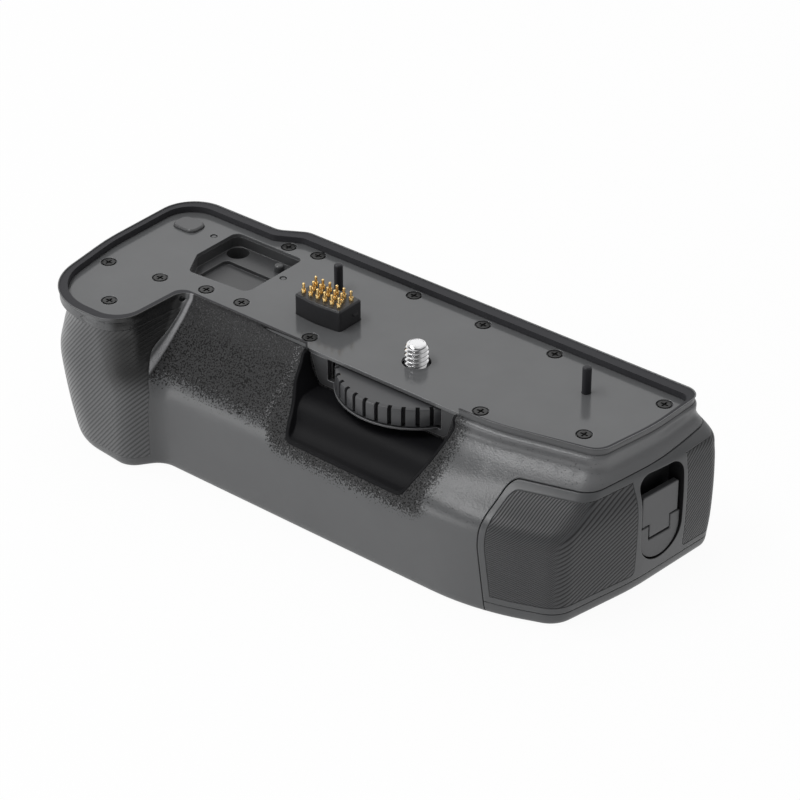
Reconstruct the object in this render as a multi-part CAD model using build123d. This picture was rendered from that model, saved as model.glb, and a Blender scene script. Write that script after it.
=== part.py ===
from build123d import *
import math
import os

# All lengths are in millimetres.
# The origin is the mouth of the tripod socket in the underside.
# +X points to the battery door, +Y to the back and +Z up to the camera.

# Body, sized by what it holds beyond its two batteries
LENGTH_ALLOWANCE = 34.4
DEPTH_ALLOWANCE = 32.6
HEIGHT_ALLOWANCE = 22.5
RIM_RISE = 2.0
PLATE_THICKNESS = 1.0
OUTER_WALL = 2.6
OVERRUN = 20.0
FIT_GAP = 0.1
SEAM_GAP = 0.3

# Batteries and the bay
BATTERY_LENGTH = 70.8
BATTERY_WIDTH = 38.4
BATTERY_HEIGHT = 20.5
BATTERY_CORNER_RADIUS = 3.0
BATTERY_PLAY = 0.5
BAY_CENTRE_Y = 1.3
BAY_FLOOR = 6.8
BAY_CLEARANCE = 0.4
BAY_WALL = 1.6

# Battery tray
TRAY_WALL = 1.6
TRAY_FLOOR = 1.4
TRAY_END_WALL = 2.4
TRAY_DIVIDER = 1.4
TRAY_END_GAP = 1.8
TRAY_END_INSET = 11.0
TRAY_LIFT = 0.3
TRAY_SIDE_HEIGHT = 14.0
TRAY_CORNER_RADIUS = 2.0
TRAY_SCREW_RADIUS = 1.0
TRAY_SCREW_HEAD_RADIUS = 1.9
TRAY_SCREW_HEAD = 0.8
TRAY_SCREW_REACH = 3.0
TRAY_SCREW_SPREAD = 26.0
TRAY_SCREW_INSET = 8.2

# Tray cap, whose front seam leans out below its bend and whose top seam rises to the back
CAP_LENGTH = 29.7
CAP_FOOT_STEP = 2.4
CAP_BEND_SHARE = 0.604
CAP_BEND_RADIUS = 30.0
CAP_DROP = 9.9
CAP_TOP_Y = -15.0
CAP_TILT = 3.6
CAP_CORNER_RADIUS = 2.5
CAP_ROOF = 2.5
SILL_TOP = 3.3
SILL_GAP = 0.2

# Pads on the cap
PAD_DEPTH = 0.9
PAD_MARGIN = 1.7
PAD_BOTTOM = 5.2
PAD_CORNER_RADIUS = 1.4
PAD_FRONT_GAP = 1.4
PAD_REAR_GAP = 1.2
PAD_REAR_STEP = 10.5

# Latch, set in a face that is turned a little to the front
LATCH_SINK = 3.3
LATCH_Y = 9.5
LATCH_YAW = 7.0
LATCH_RADIUS = 7.7
LATCH_LOW = 6.6
LATCH_ROOF = 0.1
LATCH_TOP_RADIUS = 4.0
LATCH_DEPTH = 4.6
LATCH_GAP = 0.25
HUB_RISE = 3.1
LEVER_SIDE_GAP = 1.1
LEVER_THICKNESS = 1.8
LEVER_LENGTH = 8.9
LEVER_TAB_WIDTH = 7.4
LEVER_GAP = 0.4
LEVER_CORNER_RADIUS = 0.6
LATCH_PIN_RADIUS = 0.6
LATCH_PIN_GAP = 0.05
LATCH_PIN_INSET = 1.5

# Camera stud and thumb wheel
STUD_RADIUS = 3.175
STUD_RISE = 5.85
STUD_TIP = 1.2
STUD_NECK_DEPTH = 0.5
NECK_RISE = 0.25
STUD_HOLE_RADIUS = 3.85
JOURNAL_RADIUS = 2.5
JOURNAL_GAP = 0.05
WHEEL_RADIUS = 21.0
WHEEL_THICKNESS = 5.1
WHEEL_TOP_GAP = 0.5
WHEEL_CHAMFER = 0.9
WHEEL_TEETH = 36
TOOTH_GAP_WIDTH = 1.1
TOOTH_GAP_DEPTH = 1.0
WHEEL_CLEARANCE = 0.3
WHEEL_SIDE_GAP = 0.7
BUSH_RADIUS = 4.5
BUSH_DEPTH = 2.4
CLIP_RADIUS = 4.0
CLIP_THICKNESS = 0.7
CLIP_GAP = 0.3
CLIP_POCKET_RADIUS = 4.8

# Wheel panel, an upright plate with a window and a lip below the wheel
PANEL_SET_BACK = 1.13
PANEL_THICKNESS = 1.3
PANEL_DROP = 2.3
PANEL_LEFT_INSET = 1.0
PANEL_RIGHT_INSET = 2.2
PANEL_LEFT_SLANT = 2.6
PANEL_RIGHT_SLANT = 2.4
PANEL_LOW_RADIUS = 2.5
PANEL_HIGH_RADIUS = 0.3
WINDOW_LEFT_INSET = 5.6
WINDOW_RIGHT_INSET = 4.0
WINDOW_DROP = 0.3
LIP_REACH = 0.3
LIP_LEAN = 3.4
LIP_EDGE_DROP = 0.5

# Thumb scoop below the wheel
SCOOP_LEFT_ROOM = 5.0
SCOOP_RIGHT_ROOM = 3.4
SCOOP_LEFT_LEAN = 7.5
SCOOP_RIGHT_LEAN = 3.9
SCOOP_WAIST_DROP = 4.0
SCOOP_SHELF_DROP = 1.4
SCOOP_FALL = 6.6
SCOOP_SHELF_WALL = 0.2
SCOOP_RUN = 5.9
SCOOP_SHELF_RADIUS = 7.0
SCOOP_FOOT_RADIUS = 10.0
SCOOP_CORNER_RADIUS = 3.0
SCOOP_WAIST_RADIUS = 12.0
LINER_THICKNESS = 0.8

# Finger valley between the lobe and the front, a round groove that runs down and out
# Its x is a share of the body's length, and its points are shares of the depth and of the rim's height.
VALLEY_X_SHARE = -0.3943
VALLEY_RADIUS = 3.4
VALLEY_BEND_RADIUS = 6.0
VALLEY_SHARES = [
    (-0.1803, 0.9395),
    (-0.2296, 0.8372),
    (-0.3028, 0.6860),
    (-0.5070, 0.4884),
]

# Rubber skin on the lobe, whose inner edge steps outwards between two heights
SKIN_DEPTH = 1.0
SKIN_EDGE_X_SHARE = -0.3784
SKIN_FOOT_X_SHARE = -0.3614
SKIN_EDGE_LOW_SHARE = 0.744
SKIN_FOOT_HIGH_SHARE = 0.512
SKIN_BACK_Y_SHARE = 0.2394
SKIN_EDGE_RADIUS = 12.0
SKIN_LOW = 3.0
SKIN_TOP_GAP = 0.4

# Rim gasket round the plate
GASKET_EDGE = 0.35
GASKET_DROP = 0.2

# Plate screws
SCREW_HEAD_RADIUS = 1.8
SCREW_HEAD_THICKNESS = 0.65
SCREW_SINK_RADIUS = 2.25
SCREW_RADIUS = 0.9
SCREW_HOLE_RADIUS = 1.1
SCREW_PILOT_RADIUS = 0.92
SCREW_LENGTH = 4.0
SCREW_BOSS_RADIUS = 3.0
CROSS_WIDTH = 0.5
CROSS_LENGTH = 2.2
CROSS_DEPTH = 0.4
SCREW_SPOT_SHARES = [
    (-0.551, -0.177),
    (-0.457, -0.141),
    (-0.469, -0.386),
    (-0.378, -0.097),
    (-0.311, -0.085),
    (-0.368, 0.346),
    (-0.315, 0.366),
    (-0.124, 0.364),
    (0.010, 0.358),
    (0.143, 0.360),
    (0.347, 0.332),
    (0.306, -0.007),
    (0.156, -0.117),
    (-0.165, -0.114),
]

# Locating pins
PIN_RADIUS = 1.2
PIN_RISE = 7.7
PIN_TIP = 0.5
PIN_NECK_DEPTH = 0.2
PIN_ROOT = 6.0
PIN_X_SHARES = (-0.2239, 0.2420)
PIN_Y = 15.6
PIN_HOLE_GAP = 0.05
PIN_BOSS_RADIUS = 3.4

# Small holes in the plate, each round a pip of the shell
PIP_HOLE_RADIUS = 1.05
PIP_RADIUS = 0.7
PIP_SINK = 0.15
PIP_BOSS_RADIUS = 1.6
PIP_SHARES = [(-0.481, 0.227), (-0.311, 0.151)]

# Rubber bumper, set in the plate
BUMPER_X_SHARE = -0.533
BUMPER_Y_SHARE = 0.2254
BUMPER_SINK = 0.4
BUMPER_LENGTH = 8.0
BUMPER_DEPTH = 6.2
BUMPER_HEIGHT = 0.9
BUMPER_CORNER_RADIUS = 2.2
BUMPER_EDGE = 0.4

# Connector, whose length follows its longest row of contacts
BLOCK_TO_WHEEL = 2.9
BLOCK_END_MARGIN = 1.75
BLOCK_FRONT_Y = -1.3
BLOCK_DEPTH = 8.9
BLOCK_BOW = 0.9
BLOCK_RISE = 6.0
BLOCK_CORNER_RADIUS = 0.8
BLOCK_BOW_RADIUS = 30.0
BLOCK_CHAMFER = 0.4
BLOCK_FLANGE = 0.5
BLOCK_FLANGE_THICKNESS = 1.4
BLOCK_ROOT = 3.2
SNAP_WIDTH = 1.6
SNAP_REACH = 0.5
SNAP_LOW = 2.4
SNAP_HEIGHT = 1.1
CONTACT_PITCH = 2.42
# Each row holds its first contact as shares of the pitch and of the block's depth, and its count.
CONTACT_ROW_SHARES = ((0.70, 0.753, 6), (1.20, 0.494, 5), (0.62, 0.225, 6))
BARREL_RADIUS = 0.62
BARREL_RISE = 1.0
BARREL_DEPTH = 7.0
BARREL_END = 0.5
PLUNGER_RADIUS = 0.38
PLUNGER_GAP = 0.05
PLUNGER_RISE = 2.8
PLUNGER_HIDDEN = 5.0
PLUNGER_TIP = 0.15

# Storage pocket, whose deeper floor lies in front of the shelf
POCKET_SHARES = [
    (-0.462, 0.307, 0.035),
    (-0.462, 0.0775, 0.028),
    (-0.4365, -0.0365, 0.028),
    (-0.3245, -0.017, 0.035),
    (-0.3245, 0.307, 0.028),
]
POCKET_WALL = 1.2
POCKET_SHELF_DEPTH = 4.0
POCKET_FLOOR_DEPTH = 5.1
POCKET_SEAT_DEPTH = 5.6
POCKET_SHELF_X_SHARE = -0.4432
POCKET_SHELF_Y_SHARE = 0.1915
POCKET_STEP_RADIUS = 1.5
KEEP_HOLE_X_SHARE = -0.4432
KEEP_HOLE_Y_SHARE = 0.2592
KEEP_HOLE_RADIUS = 3.2
KEEP_HOLE_DEPTH = 9.0
KEEP_WALL = 1.0
KEEP_BASE = 1.0
PEG_X_SHARE = -0.3568
PEG_Y_SHARE = 0.2563
PEG_RADIUS = 1.4
PEG_RISE = 2.0
PEG_DOME = 0.6
PEG_ROOT = 1.5

# Circuit board below the connector
BOARD_TO_POCKET = 2.3
BOARD_FRONT_REACH = 3.7
BOARD_BACK_REACH = 13.4
BOARD_THICKNESS = 1.6
BOARD_MARGIN = 0.6
BOARD_POCKET = 6.4
BOARD_POST_RADIUS = 1.6

# Lightening pocket at the battery end
END_POCKET_LENGTH = 13.5
END_POCKET_WALL = 1.5
END_POCKET_Y = (3.5, 21.5)
END_POCKET_DEPTH = 6.0

# Hollows in the walls and below the chassis plate
LOBE_WALL = 4.6
LOBE_HOLLOW_LOW = 4.0
FRONT_HOLLOW_LEFT_SHARE = -0.318
BACK_HOLLOW_LEFT_SHARE = -0.409
FRONT_HOLLOW_TOP_SHARE = 0.488
BACK_HOLLOW_TOP_SHARE = 0.709
UNDERSIDE_WALL = 2.4
CHASSIS_THICKNESS = 1.2
CHASSIS_LEDGE = 1.6
CHASSIS_POST_RADIUS = 3.2

# Base screws
BASE_SCREW_RADIUS = 1.2
BASE_SCREW_HEAD_RADIUS = 2.2
BASE_SCREW_HEAD = 1.3
BASE_SCREW_SINK = 0.3
BASE_SCREW_LENGTH = 4.9
BASE_SCREW_BAY_INSET = 16.0
BASE_SCREW_SEAM_INSET = 10.5
BASE_SCREW_SPREAD = 26.6

# Tripod socket
SOCKET_RADIUS = 3.175
SOCKET_DEPTH = 5.0
SOCKET_BODY_RADIUS = 5.5
SOCKET_FLANGE_RADIUS = 7.0
SOCKET_FLANGE_THICKNESS = 1.2
SOCKET_BOSS_RADIUS = 9.0

# Bay contacts
CONTACT_BLOCK_THICKNESS = 1.0
CONTACT_BLOCK_WIDTH = 18.0
CONTACT_BLOCK_HEIGHT = 9.0
CONTACT_BLOCK_LIFT = 3.2
BAY_CONTACTS = 4
BAY_CONTACT_PITCH = 4.0
BAY_CONTACT_RADIUS = 0.9
BAY_CONTACT_GAP = 0.3
TRAY_BLADE_WIDTH = 2.0
TRAY_BLADE_RISE = 0.3
TRAY_BLADE_INSET = 0.5

BODY_LENGTH = 2 * BATTERY_LENGTH + LENGTH_ALLOWANCE
BODY_DEPTH = BATTERY_WIDTH + DEPTH_ALLOWANCE
RIM_TOP = BATTERY_HEIGHT + HEIGHT_ALLOWANCE
PLATE_TOP = RIM_TOP - RIM_RISE
PLATE_UNDER = PLATE_TOP - PLATE_THICKNESS
HEAD_SEAT = PLATE_TOP - SCREW_HEAD_THICKNESS
BAY_WIDTH = BATTERY_WIDTH + 2 * (BATTERY_PLAY + TRAY_WALL + BAY_CLEARANCE)
BAY_Y = (BAY_CENTRE_Y - BAY_WIDTH / 2, BAY_CENTRE_Y + BAY_WIDTH / 2)
BAY_TOP = BAY_FLOOR + TRAY_LIFT + TRAY_FLOOR + BATTERY_HEIGHT + BAY_CLEARANCE
TRAY_Y = (BAY_Y[0] + BAY_CLEARANCE, BAY_Y[1] - BAY_CLEARANCE)
TRAY_LOW = BAY_FLOOR + TRAY_LIFT
WHEEL_TOP = PLATE_UNDER - WHEEL_TOP_GAP
WHEEL_UNDER = WHEEL_TOP - WHEEL_THICKNESS
WHEEL_FLOOR = WHEEL_UNDER - WHEEL_CLEARANCE
WHEEL_POCKET_RADIUS = WHEEL_RADIUS + WHEEL_SIDE_GAP
BUSH_LOW = WHEEL_FLOOR - BUSH_DEPTH
CLIP_TOP = BUSH_LOW - CLIP_GAP
STUD_TOP = PLATE_TOP + STUD_RISE
NECK_TOP = PLATE_TOP + NECK_RISE
PANEL_LOW = WHEEL_FLOOR - PANEL_DROP
WINDOW_LOW = WHEEL_FLOOR - WINDOW_DROP
LIP_EDGE_Z = WHEEL_FLOOR - LIP_EDGE_DROP
SCOOP_SHELF = PANEL_LOW - SCOOP_SHELF_DROP
SCOOP_FLOOR = SCOOP_SHELF - SCOOP_FALL
SCOOP_WAIST_Z = PLATE_UNDER - SCOOP_WAIST_DROP
SCOOP_SHELF_Y = BAY_Y[0] - SCOOP_SHELF_WALL
SCOOP_FOOT_Y = SCOOP_SHELF_Y - SCOOP_RUN
SCOOP_LEFT_X = -WHEEL_RADIUS - SCOOP_LEFT_ROOM
SCOOP_RIGHT_X = WHEEL_RADIUS + SCOOP_RIGHT_ROOM
PANEL_LEFT_X = SCOOP_LEFT_X + PANEL_LEFT_INSET
PANEL_RIGHT_X = SCOOP_RIGHT_X - PANEL_RIGHT_INSET
WINDOW_LEFT_X = PANEL_LEFT_X + WINDOW_LEFT_INSET
WINDOW_RIGHT_X = PANEL_RIGHT_X - WINDOW_RIGHT_INSET
PIN_X = [share * BODY_LENGTH for share in PIN_X_SHARES]
KEEP_SEAT = PLATE_TOP - KEEP_HOLE_DEPTH - KEEP_BASE
BLOCK_TOP = PLATE_TOP + BLOCK_RISE
BLOCK_LOW = PLATE_UNDER - BLOCK_ROOT
BARREL_TOP = BLOCK_TOP + BARREL_RISE
BARREL_LOW = BLOCK_TOP - BARREL_DEPTH
BLOCK_BACK_Y = BLOCK_FRONT_Y + BLOCK_DEPTH
BLOCK_LENGTH = (max(count for x, y, count in CONTACT_ROW_SHARES) - 1) * CONTACT_PITCH + 2 * BLOCK_END_MARGIN
BLOCK_RIGHT_X = -WHEEL_POCKET_RADIUS - BLOCK_TO_WHEEL
BLOCK_LEFT_X = BLOCK_RIGHT_X - BLOCK_LENGTH
BOARD_LOW = BLOCK_LOW - BOARD_THICKNESS
BOARD_POCKET_FLOOR = PLATE_UNDER - BOARD_POCKET
CHASSIS_UNDER = BAY_FLOOR - CHASSIS_THICKNESS
SOCKET_FLANGE_LOW = CHASSIS_UNDER - SOCKET_FLANGE_THICKNESS
BASE_SCREW_SEAT = BASE_SCREW_SINK + BASE_SCREW_HEAD
BASE_SCREW_Y = (BAY_CENTRE_Y - BASE_SCREW_SPREAD / 2, BAY_CENTRE_Y + BASE_SCREW_SPREAD / 2)
TRAY_SCREW_SEAT = TRAY_LOW + TRAY_FLOOR - TRAY_SCREW_HEAD
CONTACT_BLOCK_LOW = BAY_FLOOR + CONTACT_BLOCK_LIFT
CAP_TOP = RIM_TOP - CAP_DROP
CAP_BEND = CAP_BEND_SHARE * CAP_TOP
CAP_CEILING = CAP_TOP - CAP_ROOF
LATCH_HIGH = CAP_TOP - LATCH_ROOF
LATCH_ARC_Z = LATCH_LOW + LATCH_RADIUS
LEVER_AXIS_Z = LATCH_ARC_Z
HUB_TOP = LEVER_AXIS_Z + HUB_RISE
LEVER_LOW = HUB_TOP + LEVER_GAP
LEVER_TOP = LEVER_LOW + LEVER_LENGTH
LEVER_WIDTH = 2 * (LATCH_RADIUS - LEVER_SIDE_GAP)
LATCH_PIN_LENGTH = 2 * (LATCH_RADIUS - LATCH_PIN_INSET)
PAD_FRONT_RIGHT_Y = LATCH_Y - LATCH_RADIUS - PAD_FRONT_GAP
PAD_REAR_LEFT_Y = LATCH_Y + LATCH_RADIUS + PAD_REAR_GAP
KEEP_HOLE_X = KEEP_HOLE_X_SHARE * BODY_LENGTH
KEEP_HOLE_Y = KEEP_HOLE_Y_SHARE * BODY_DEPTH

# Plan outlines run anticlockwise from the back step.
# Each row holds x as a share of the body's length, then y and the corner radius as shares of its depth.
RIM_SHARES = [
    (-0.361, 0.445, 0.070),
    (-0.403, 0.385, 0.085),
    (-0.589, 0.385, 0.155),
    (-0.589, -0.085, 0.845),
    (-0.562, -0.544, 0.268),
    (-0.395, -0.544, 0.127),
    (-0.389, -0.192, 0.056),
    (0.199, -0.192, 0.845),
    (0.3625, -0.099, 0.077),
    (0.381, 0.169, 0.845),
    (0.382, 0.445, 0.063),
]
BELLY_SHARES = [
    (-0.361, 0.445, 0.070),
    (-0.403, 0.385, 0.085),
    (-0.592, 0.385, 0.169),
    (-0.592, -0.085, 0.845),
    (-0.566, -0.555, 0.268),
    (-0.3835, -0.555, 0.092),
    (-0.3495, -0.441, 0.085),
    (0.247, -0.4535, 0.986),
    (0.369, -0.338, 0.113),
    (0.4025, 0.014, 1.127),
    (0.4215, 0.445, 0.056),
]
PLATE_SHARES = [
    (-0.357, 0.399, 0.056),
    (-0.399, 0.344, 0.070),
    (-0.578, 0.344, 0.127),
    (-0.578, -0.085, 0.845),
    (-0.553, -0.500, 0.239),
    (-0.4045, -0.5015, 0.106),
    (-0.3995, -0.175, 0.049),
    (0.199, -0.180, 0.845),
    (0.356, -0.085, 0.070),
    (0.374, 0.169, 0.845),
    (0.374, 0.399, 0.042),
]
INNER_CORNER = 6
FRONT_CORNER = 7
END_CORNERS = (8, 9, 10)
LOBE_END_CORNERS = (2, 3, 4)
LOBE_TIP_CORNER = 4
LOBE_TIP_FOLLOW_SHARE = 0.5
ARC_ROOM_SHARE = 0.98

# Each level holds its height as a share of the rim's height, how far the front, its inner corner beside
# the lobe and the battery end have grown from the rim outline to the belly outline, and two insets as
# shares of the body's depth: of the whole outline, and of the lobe's outer end.
LEVEL_SHARES = [
    (1.000, 0.00, 0.00, 0.00, 0.000, 0.000),
    (0.953, 0.015, 0.05, 0.00, 0.000, 0.020),
    (0.898, 0.04, 0.16, 0.03, 0.000, 0.034),
    (0.865, 0.07, 0.23, 0.14, 0.000, 0.036),
    (0.845, 0.125, 0.275, 0.32, 0.000, 0.035),
    (0.825, 0.185, 0.32, 0.55, 0.000, 0.034),
    (0.786, 0.275, 0.405, 0.88, 0.000, 0.028),
    (0.721, 0.43, 0.545, 0.98, 0.000, 0.020),
    (0.667, 0.63, 0.66, 1.00, 0.000, 0.014),
    (0.621, 0.83, 0.76, 1.00, 0.000, 0.011),
    (0.567, 0.955, 0.865, 1.00, 0.000, 0.011),
    (0.488, 1.00, 0.96, 1.00, 0.000, 0.016),
    (0.372, 1.00, 1.00, 0.98, 0.000, 0.026),
    (0.256, 1.00, 1.00, 0.94, 0.000, 0.038),
    (0.163, 1.00, 1.00, 0.88, 0.000, 0.050),
    (0.086, 1.00, 1.00, 0.81, 0.000, 0.062),
    (0.040, 1.00, 1.00, 0.77, 0.001, 0.070),
    (0.012, 1.00, 1.00, 0.74, 0.006, 0.078),
    (0.000, 1.00, 1.00, 0.72, 0.014, 0.086),
]

# Places that follow the outlines
BODY_END_X = max(x for x, y, radius in BELLY_SHARES) * BODY_LENGTH
END_REACH_X = BODY_END_X + OVERRUN
CAP_SEAM_X = BODY_END_X - CAP_LENGTH
CAP_FOOT_X = CAP_SEAM_X + CAP_FOOT_STEP
CHASSIS_RIGHT_X = CAP_SEAM_X - SEAM_GAP
PAD_REAR_BACK_X = CAP_SEAM_X + PAD_REAR_STEP
LATCH_FACE_X = BODY_END_X - LATCH_SINK
LATCH_REACH = END_REACH_X - LATCH_FACE_X
CELL_LENGTH = BATTERY_LENGTH + 2 * BATTERY_PLAY
CELL_2_X = (BODY_END_X - TRAY_END_INSET - CELL_LENGTH, BODY_END_X - TRAY_END_INSET)
CELL_1_X = (CELL_2_X[0] - TRAY_DIVIDER - CELL_LENGTH, CELL_2_X[0] - TRAY_DIVIDER)
TRAY_LEFT_X = CELL_1_X[0] - TRAY_END_WALL
TRAY_SCREW_X = CELL_2_X[1] - TRAY_SCREW_INSET
BAY_END_X = TRAY_LEFT_X - TRAY_END_GAP
BASE_SCREW_X = (BAY_END_X + BASE_SCREW_BAY_INSET, CAP_SEAM_X - BASE_SCREW_SEAM_INSET)
BASE_SCREW_SPOTS = [(x, y) for x in BASE_SCREW_X for y in BASE_SCREW_Y]
PANEL_FRONT_Y = RIM_SHARES[FRONT_CORNER][1] * BODY_DEPTH + PANEL_SET_BACK
PANEL_BACK_Y = PANEL_FRONT_Y + PANEL_THICKNESS
POCKET_RIGHT_X = max(x for x, y, radius in POCKET_SHARES) * BODY_LENGTH
BOARD_X = (POCKET_RIGHT_X + POCKET_WALL + BOARD_TO_POCKET, BLOCK_RIGHT_X)
BOARD_Y = (BLOCK_FRONT_Y - BOARD_FRONT_REACH, BLOCK_BACK_Y + BOARD_BACK_REACH)
END_POCKET_X = (CAP_SEAM_X - END_POCKET_WALL - END_POCKET_LENGTH, CAP_SEAM_X - END_POCKET_WALL)
SCREW_SPOTS = [(x * BODY_LENGTH, y * BODY_DEPTH) for x, y in SCREW_SPOT_SHARES]
PIP_SPOTS = [(x * BODY_LENGTH, y * BODY_DEPTH) for x, y in PIP_SHARES]


def placed(shares):
    """Turn outline shares into millimetres."""
    return [(x * BODY_LENGTH, y * BODY_DEPTH, r * BODY_DEPTH) for x, y, r in shares]


def inset(corners, gap):
    """Move every side of an anticlockwise outline inwards by the gap."""
    moved = []
    count = len(corners)
    for i in range(count):
        before, here, after = corners[i - 1], corners[i], corners[(i + 1) % count]
        run_in = (here[0] - before[0], here[1] - before[1])
        run_out = (after[0] - here[0], after[1] - here[1])
        length_in = math.hypot(*run_in)
        length_out = math.hypot(*run_out)
        normal_in = (-run_in[1] / length_in, run_in[0] / length_in)
        normal_out = (-run_out[1] / length_out, run_out[0] / length_out)
        scale = gap / (1 + normal_in[0] * normal_out[0] + normal_in[1] * normal_out[1])
        x = here[0] + scale * (normal_in[0] + normal_out[0])
        y = here[1] + scale * (normal_in[1] + normal_out[1])
        turn = run_in[0] * run_out[1] - run_in[1] * run_out[0]
        radius = here[2] - gap if turn > 0 else here[2] + gap
        moved.append((x, y, max(radius, abs(gap)) if here[2] else 0))
    return moved


def rounded_face(corners, z=0.0):
    """Make a face from corners with their radii, where a radius of zero leaves the corner sharp.

    Two arcs on one side that would overlap are both made smaller.
    """
    count = len(corners)
    points = [Vector(x, y, z) for x, y, radius in corners]
    sides = [points[(i + 1) % count] - points[i] for i in range(count)]
    halves = [math.radians(180 - sides[i - 1].get_angle(sides[i])) / 2 for i in range(count)]
    reaches = [corner[2] / math.tan(half) for corner, half in zip(corners, halves)]
    room = []
    for i, side in enumerate(sides):
        both = reaches[i] + reaches[(i + 1) % count]
        room.append(min(1, ARC_ROOM_SHARE * side.length / both) if both else 1)
    tangents = []
    for i, (corner, half) in enumerate(zip(points, halves)):
        reach = reaches[i] * min(room[i - 1], room[i])
        radius = reach * math.tan(half)
        to_before = -sides[i - 1].normalized()
        to_after = sides[i].normalized()
        centre_line = (to_before + to_after).normalized()
        middle = corner + centre_line * (radius / math.sin(half) - radius)
        tangents.append((corner + to_before * reach, middle, corner + to_after * reach))
    edges = []
    for i in range(count):
        start, middle, end = tangents[i]
        if corners[i][2] > 0:
            edges.append(ThreePointArc(start, middle, end))
        edges.append(Line(end, tangents[(i + 1) % count][0]))
    return Face(Wire(edges))


def prism(corners, low, high):
    """Extrude a rounded outline between two heights."""
    return extrude(rounded_face(corners, low), high - low)


def hull(gap=0.0):
    """Loft the outer form of the body, or the same form with its sides moved in by the gap."""
    rim = placed(RIM_SHARES)
    belly = placed(BELLY_SHARES)
    sections = []
    for height, front, inner, end, sill, tuck in LEVEL_SHARES:
        corners = []
        for i, (top, low) in enumerate(zip(rim, belly)):
            across = inner if i == INNER_CORNER else front
            along = end if i in END_CORNERS else across
            x = top[0] + along * (low[0] - top[0])
            y = top[1] + across * (low[1] - top[1])
            radius = top[2] + across * (low[2] - top[2])
            if i in LOBE_END_CORNERS:
                x += tuck * BODY_DEPTH
            if i == LOBE_TIP_CORNER:
                y += tuck * LOBE_TIP_FOLLOW_SHARE * BODY_DEPTH
            corners.append((x, y, radius))
        corners = inset(corners, gap + sill * BODY_DEPTH)
        sections.append(rounded_face(corners, height * RIM_TOP))
    sections.reverse()
    return loft(sections)


def side_prism(corners, front, back):
    """Extrude an outline drawn in X and Z from its front to its back along Y."""
    plane = Plane(origin=(0, back, 0), x_dir=(1, 0, 0), z_dir=(0, -1, 0))
    return plane.location * extrude(rounded_face(corners), back - front)


def end_prism(corners, left, right):
    """Extrude an outline drawn in Y and Z from left to right along X."""
    plane = Plane(origin=(left, 0, 0), x_dir=(0, 1, 0), z_dir=(1, 0, 0))
    return plane.location * extrude(rounded_face(corners), right - left)


def block(x_range, y_range, z_range):
    """Make a box between three pairs of limits."""
    size = [high - low for low, high in (x_range, y_range, z_range)]
    corner = Align.MIN
    return Pos(x_range[0], y_range[0], z_range[0]) * Box(*size, align=(corner, corner, corner))


def post(x, y, z_range, radius):
    """Make an upright cylinder."""
    height = z_range[1] - z_range[0]
    return Pos(x, y, z_range[0]) * Cylinder(radius, height, align=(Align.CENTER, Align.CENTER, Align.MIN))


def rod(point, axis, length, radius):
    """Make a cylinder from a point along a direction."""
    plane = Plane(origin=point, z_dir=axis)
    return plane.location * Cylinder(radius, length, align=(Align.CENTER, Align.CENTER, Align.MIN))


def cap_space(gap=0.0):
    """The space of the tray cap and its sill, with its seams moved in by the gap."""
    outline = [
        (CAP_FOOT_X, -OVERRUN, 0),
        (END_REACH_X, -OVERRUN, 0),
        (END_REACH_X, CAP_TOP, 0),
        (CAP_SEAM_X, CAP_TOP, CAP_CORNER_RADIUS),
        (CAP_SEAM_X, CAP_BEND, CAP_BEND_RADIUS),
        (CAP_FOOT_X, 0, 0),
    ]
    pivot = Pos(0, CAP_TOP_Y, CAP_TOP)
    space = side_prism(inset(outline, gap), -BODY_DEPTH, BODY_DEPTH)
    return pivot * Rot(CAP_TILT, 0, 0) * pivot.inverse() * space


def scoop_form(gap=0.0):
    """The space of the thumb scoop with its floor and sides moved in by the gap."""
    profile = [
        (-BODY_DEPTH, SCOOP_FLOOR, 0),
        (SCOOP_FOOT_Y, SCOOP_FLOOR, SCOOP_FOOT_RADIUS),
        (SCOOP_SHELF_Y, SCOOP_SHELF, SCOOP_SHELF_RADIUS),
        (PANEL_FRONT_Y + gap, SCOOP_SHELF, 0),
        (PANEL_FRONT_Y + gap, RIM_TOP + OVERRUN, 0),
        (-BODY_DEPTH, RIM_TOP + OVERRUN, 0),
    ]
    front = [
        (SCOOP_LEFT_X + SCOOP_LEFT_LEAN, SCOOP_FLOOR, SCOOP_CORNER_RADIUS),
        (SCOOP_RIGHT_X - SCOOP_RIGHT_LEAN, SCOOP_FLOOR, SCOOP_CORNER_RADIUS),
        (SCOOP_RIGHT_X, SCOOP_WAIST_Z, SCOOP_WAIST_RADIUS),
        (SCOOP_RIGHT_X, RIM_TOP + OVERRUN, 0),
        (SCOOP_LEFT_X, RIM_TOP + OVERRUN, 0),
        (SCOOP_LEFT_X, SCOOP_WAIST_Z, SCOOP_WAIST_RADIUS),
    ]
    along = end_prism(inset(profile, gap), SCOOP_LEFT_X, SCOOP_RIGHT_X)
    return along & side_prism(inset(front, gap), -BODY_DEPTH, 0)


def valley_form():
    """The finger valley beside the lobe, a round groove swept down the front."""
    x = VALLEY_X_SHARE * BODY_LENGTH
    points = [(x, y * BODY_DEPTH, z * RIM_TOP) for y, z in VALLEY_SHARES]
    path = FilletPolyline(*points, radius=VALLEY_BEND_RADIUS)
    start = Plane(origin=path @ 0, z_dir=path % 0)
    return sweep(start * Circle(VALLEY_RADIUS), path)


def latch_placed(form):
    """Move a form from the latch's own axes, whose origin is on the face, to its place."""
    return Pos(LATCH_FACE_X, LATCH_Y, 0) * Rot(0, 0, -LATCH_YAW) * form


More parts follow.
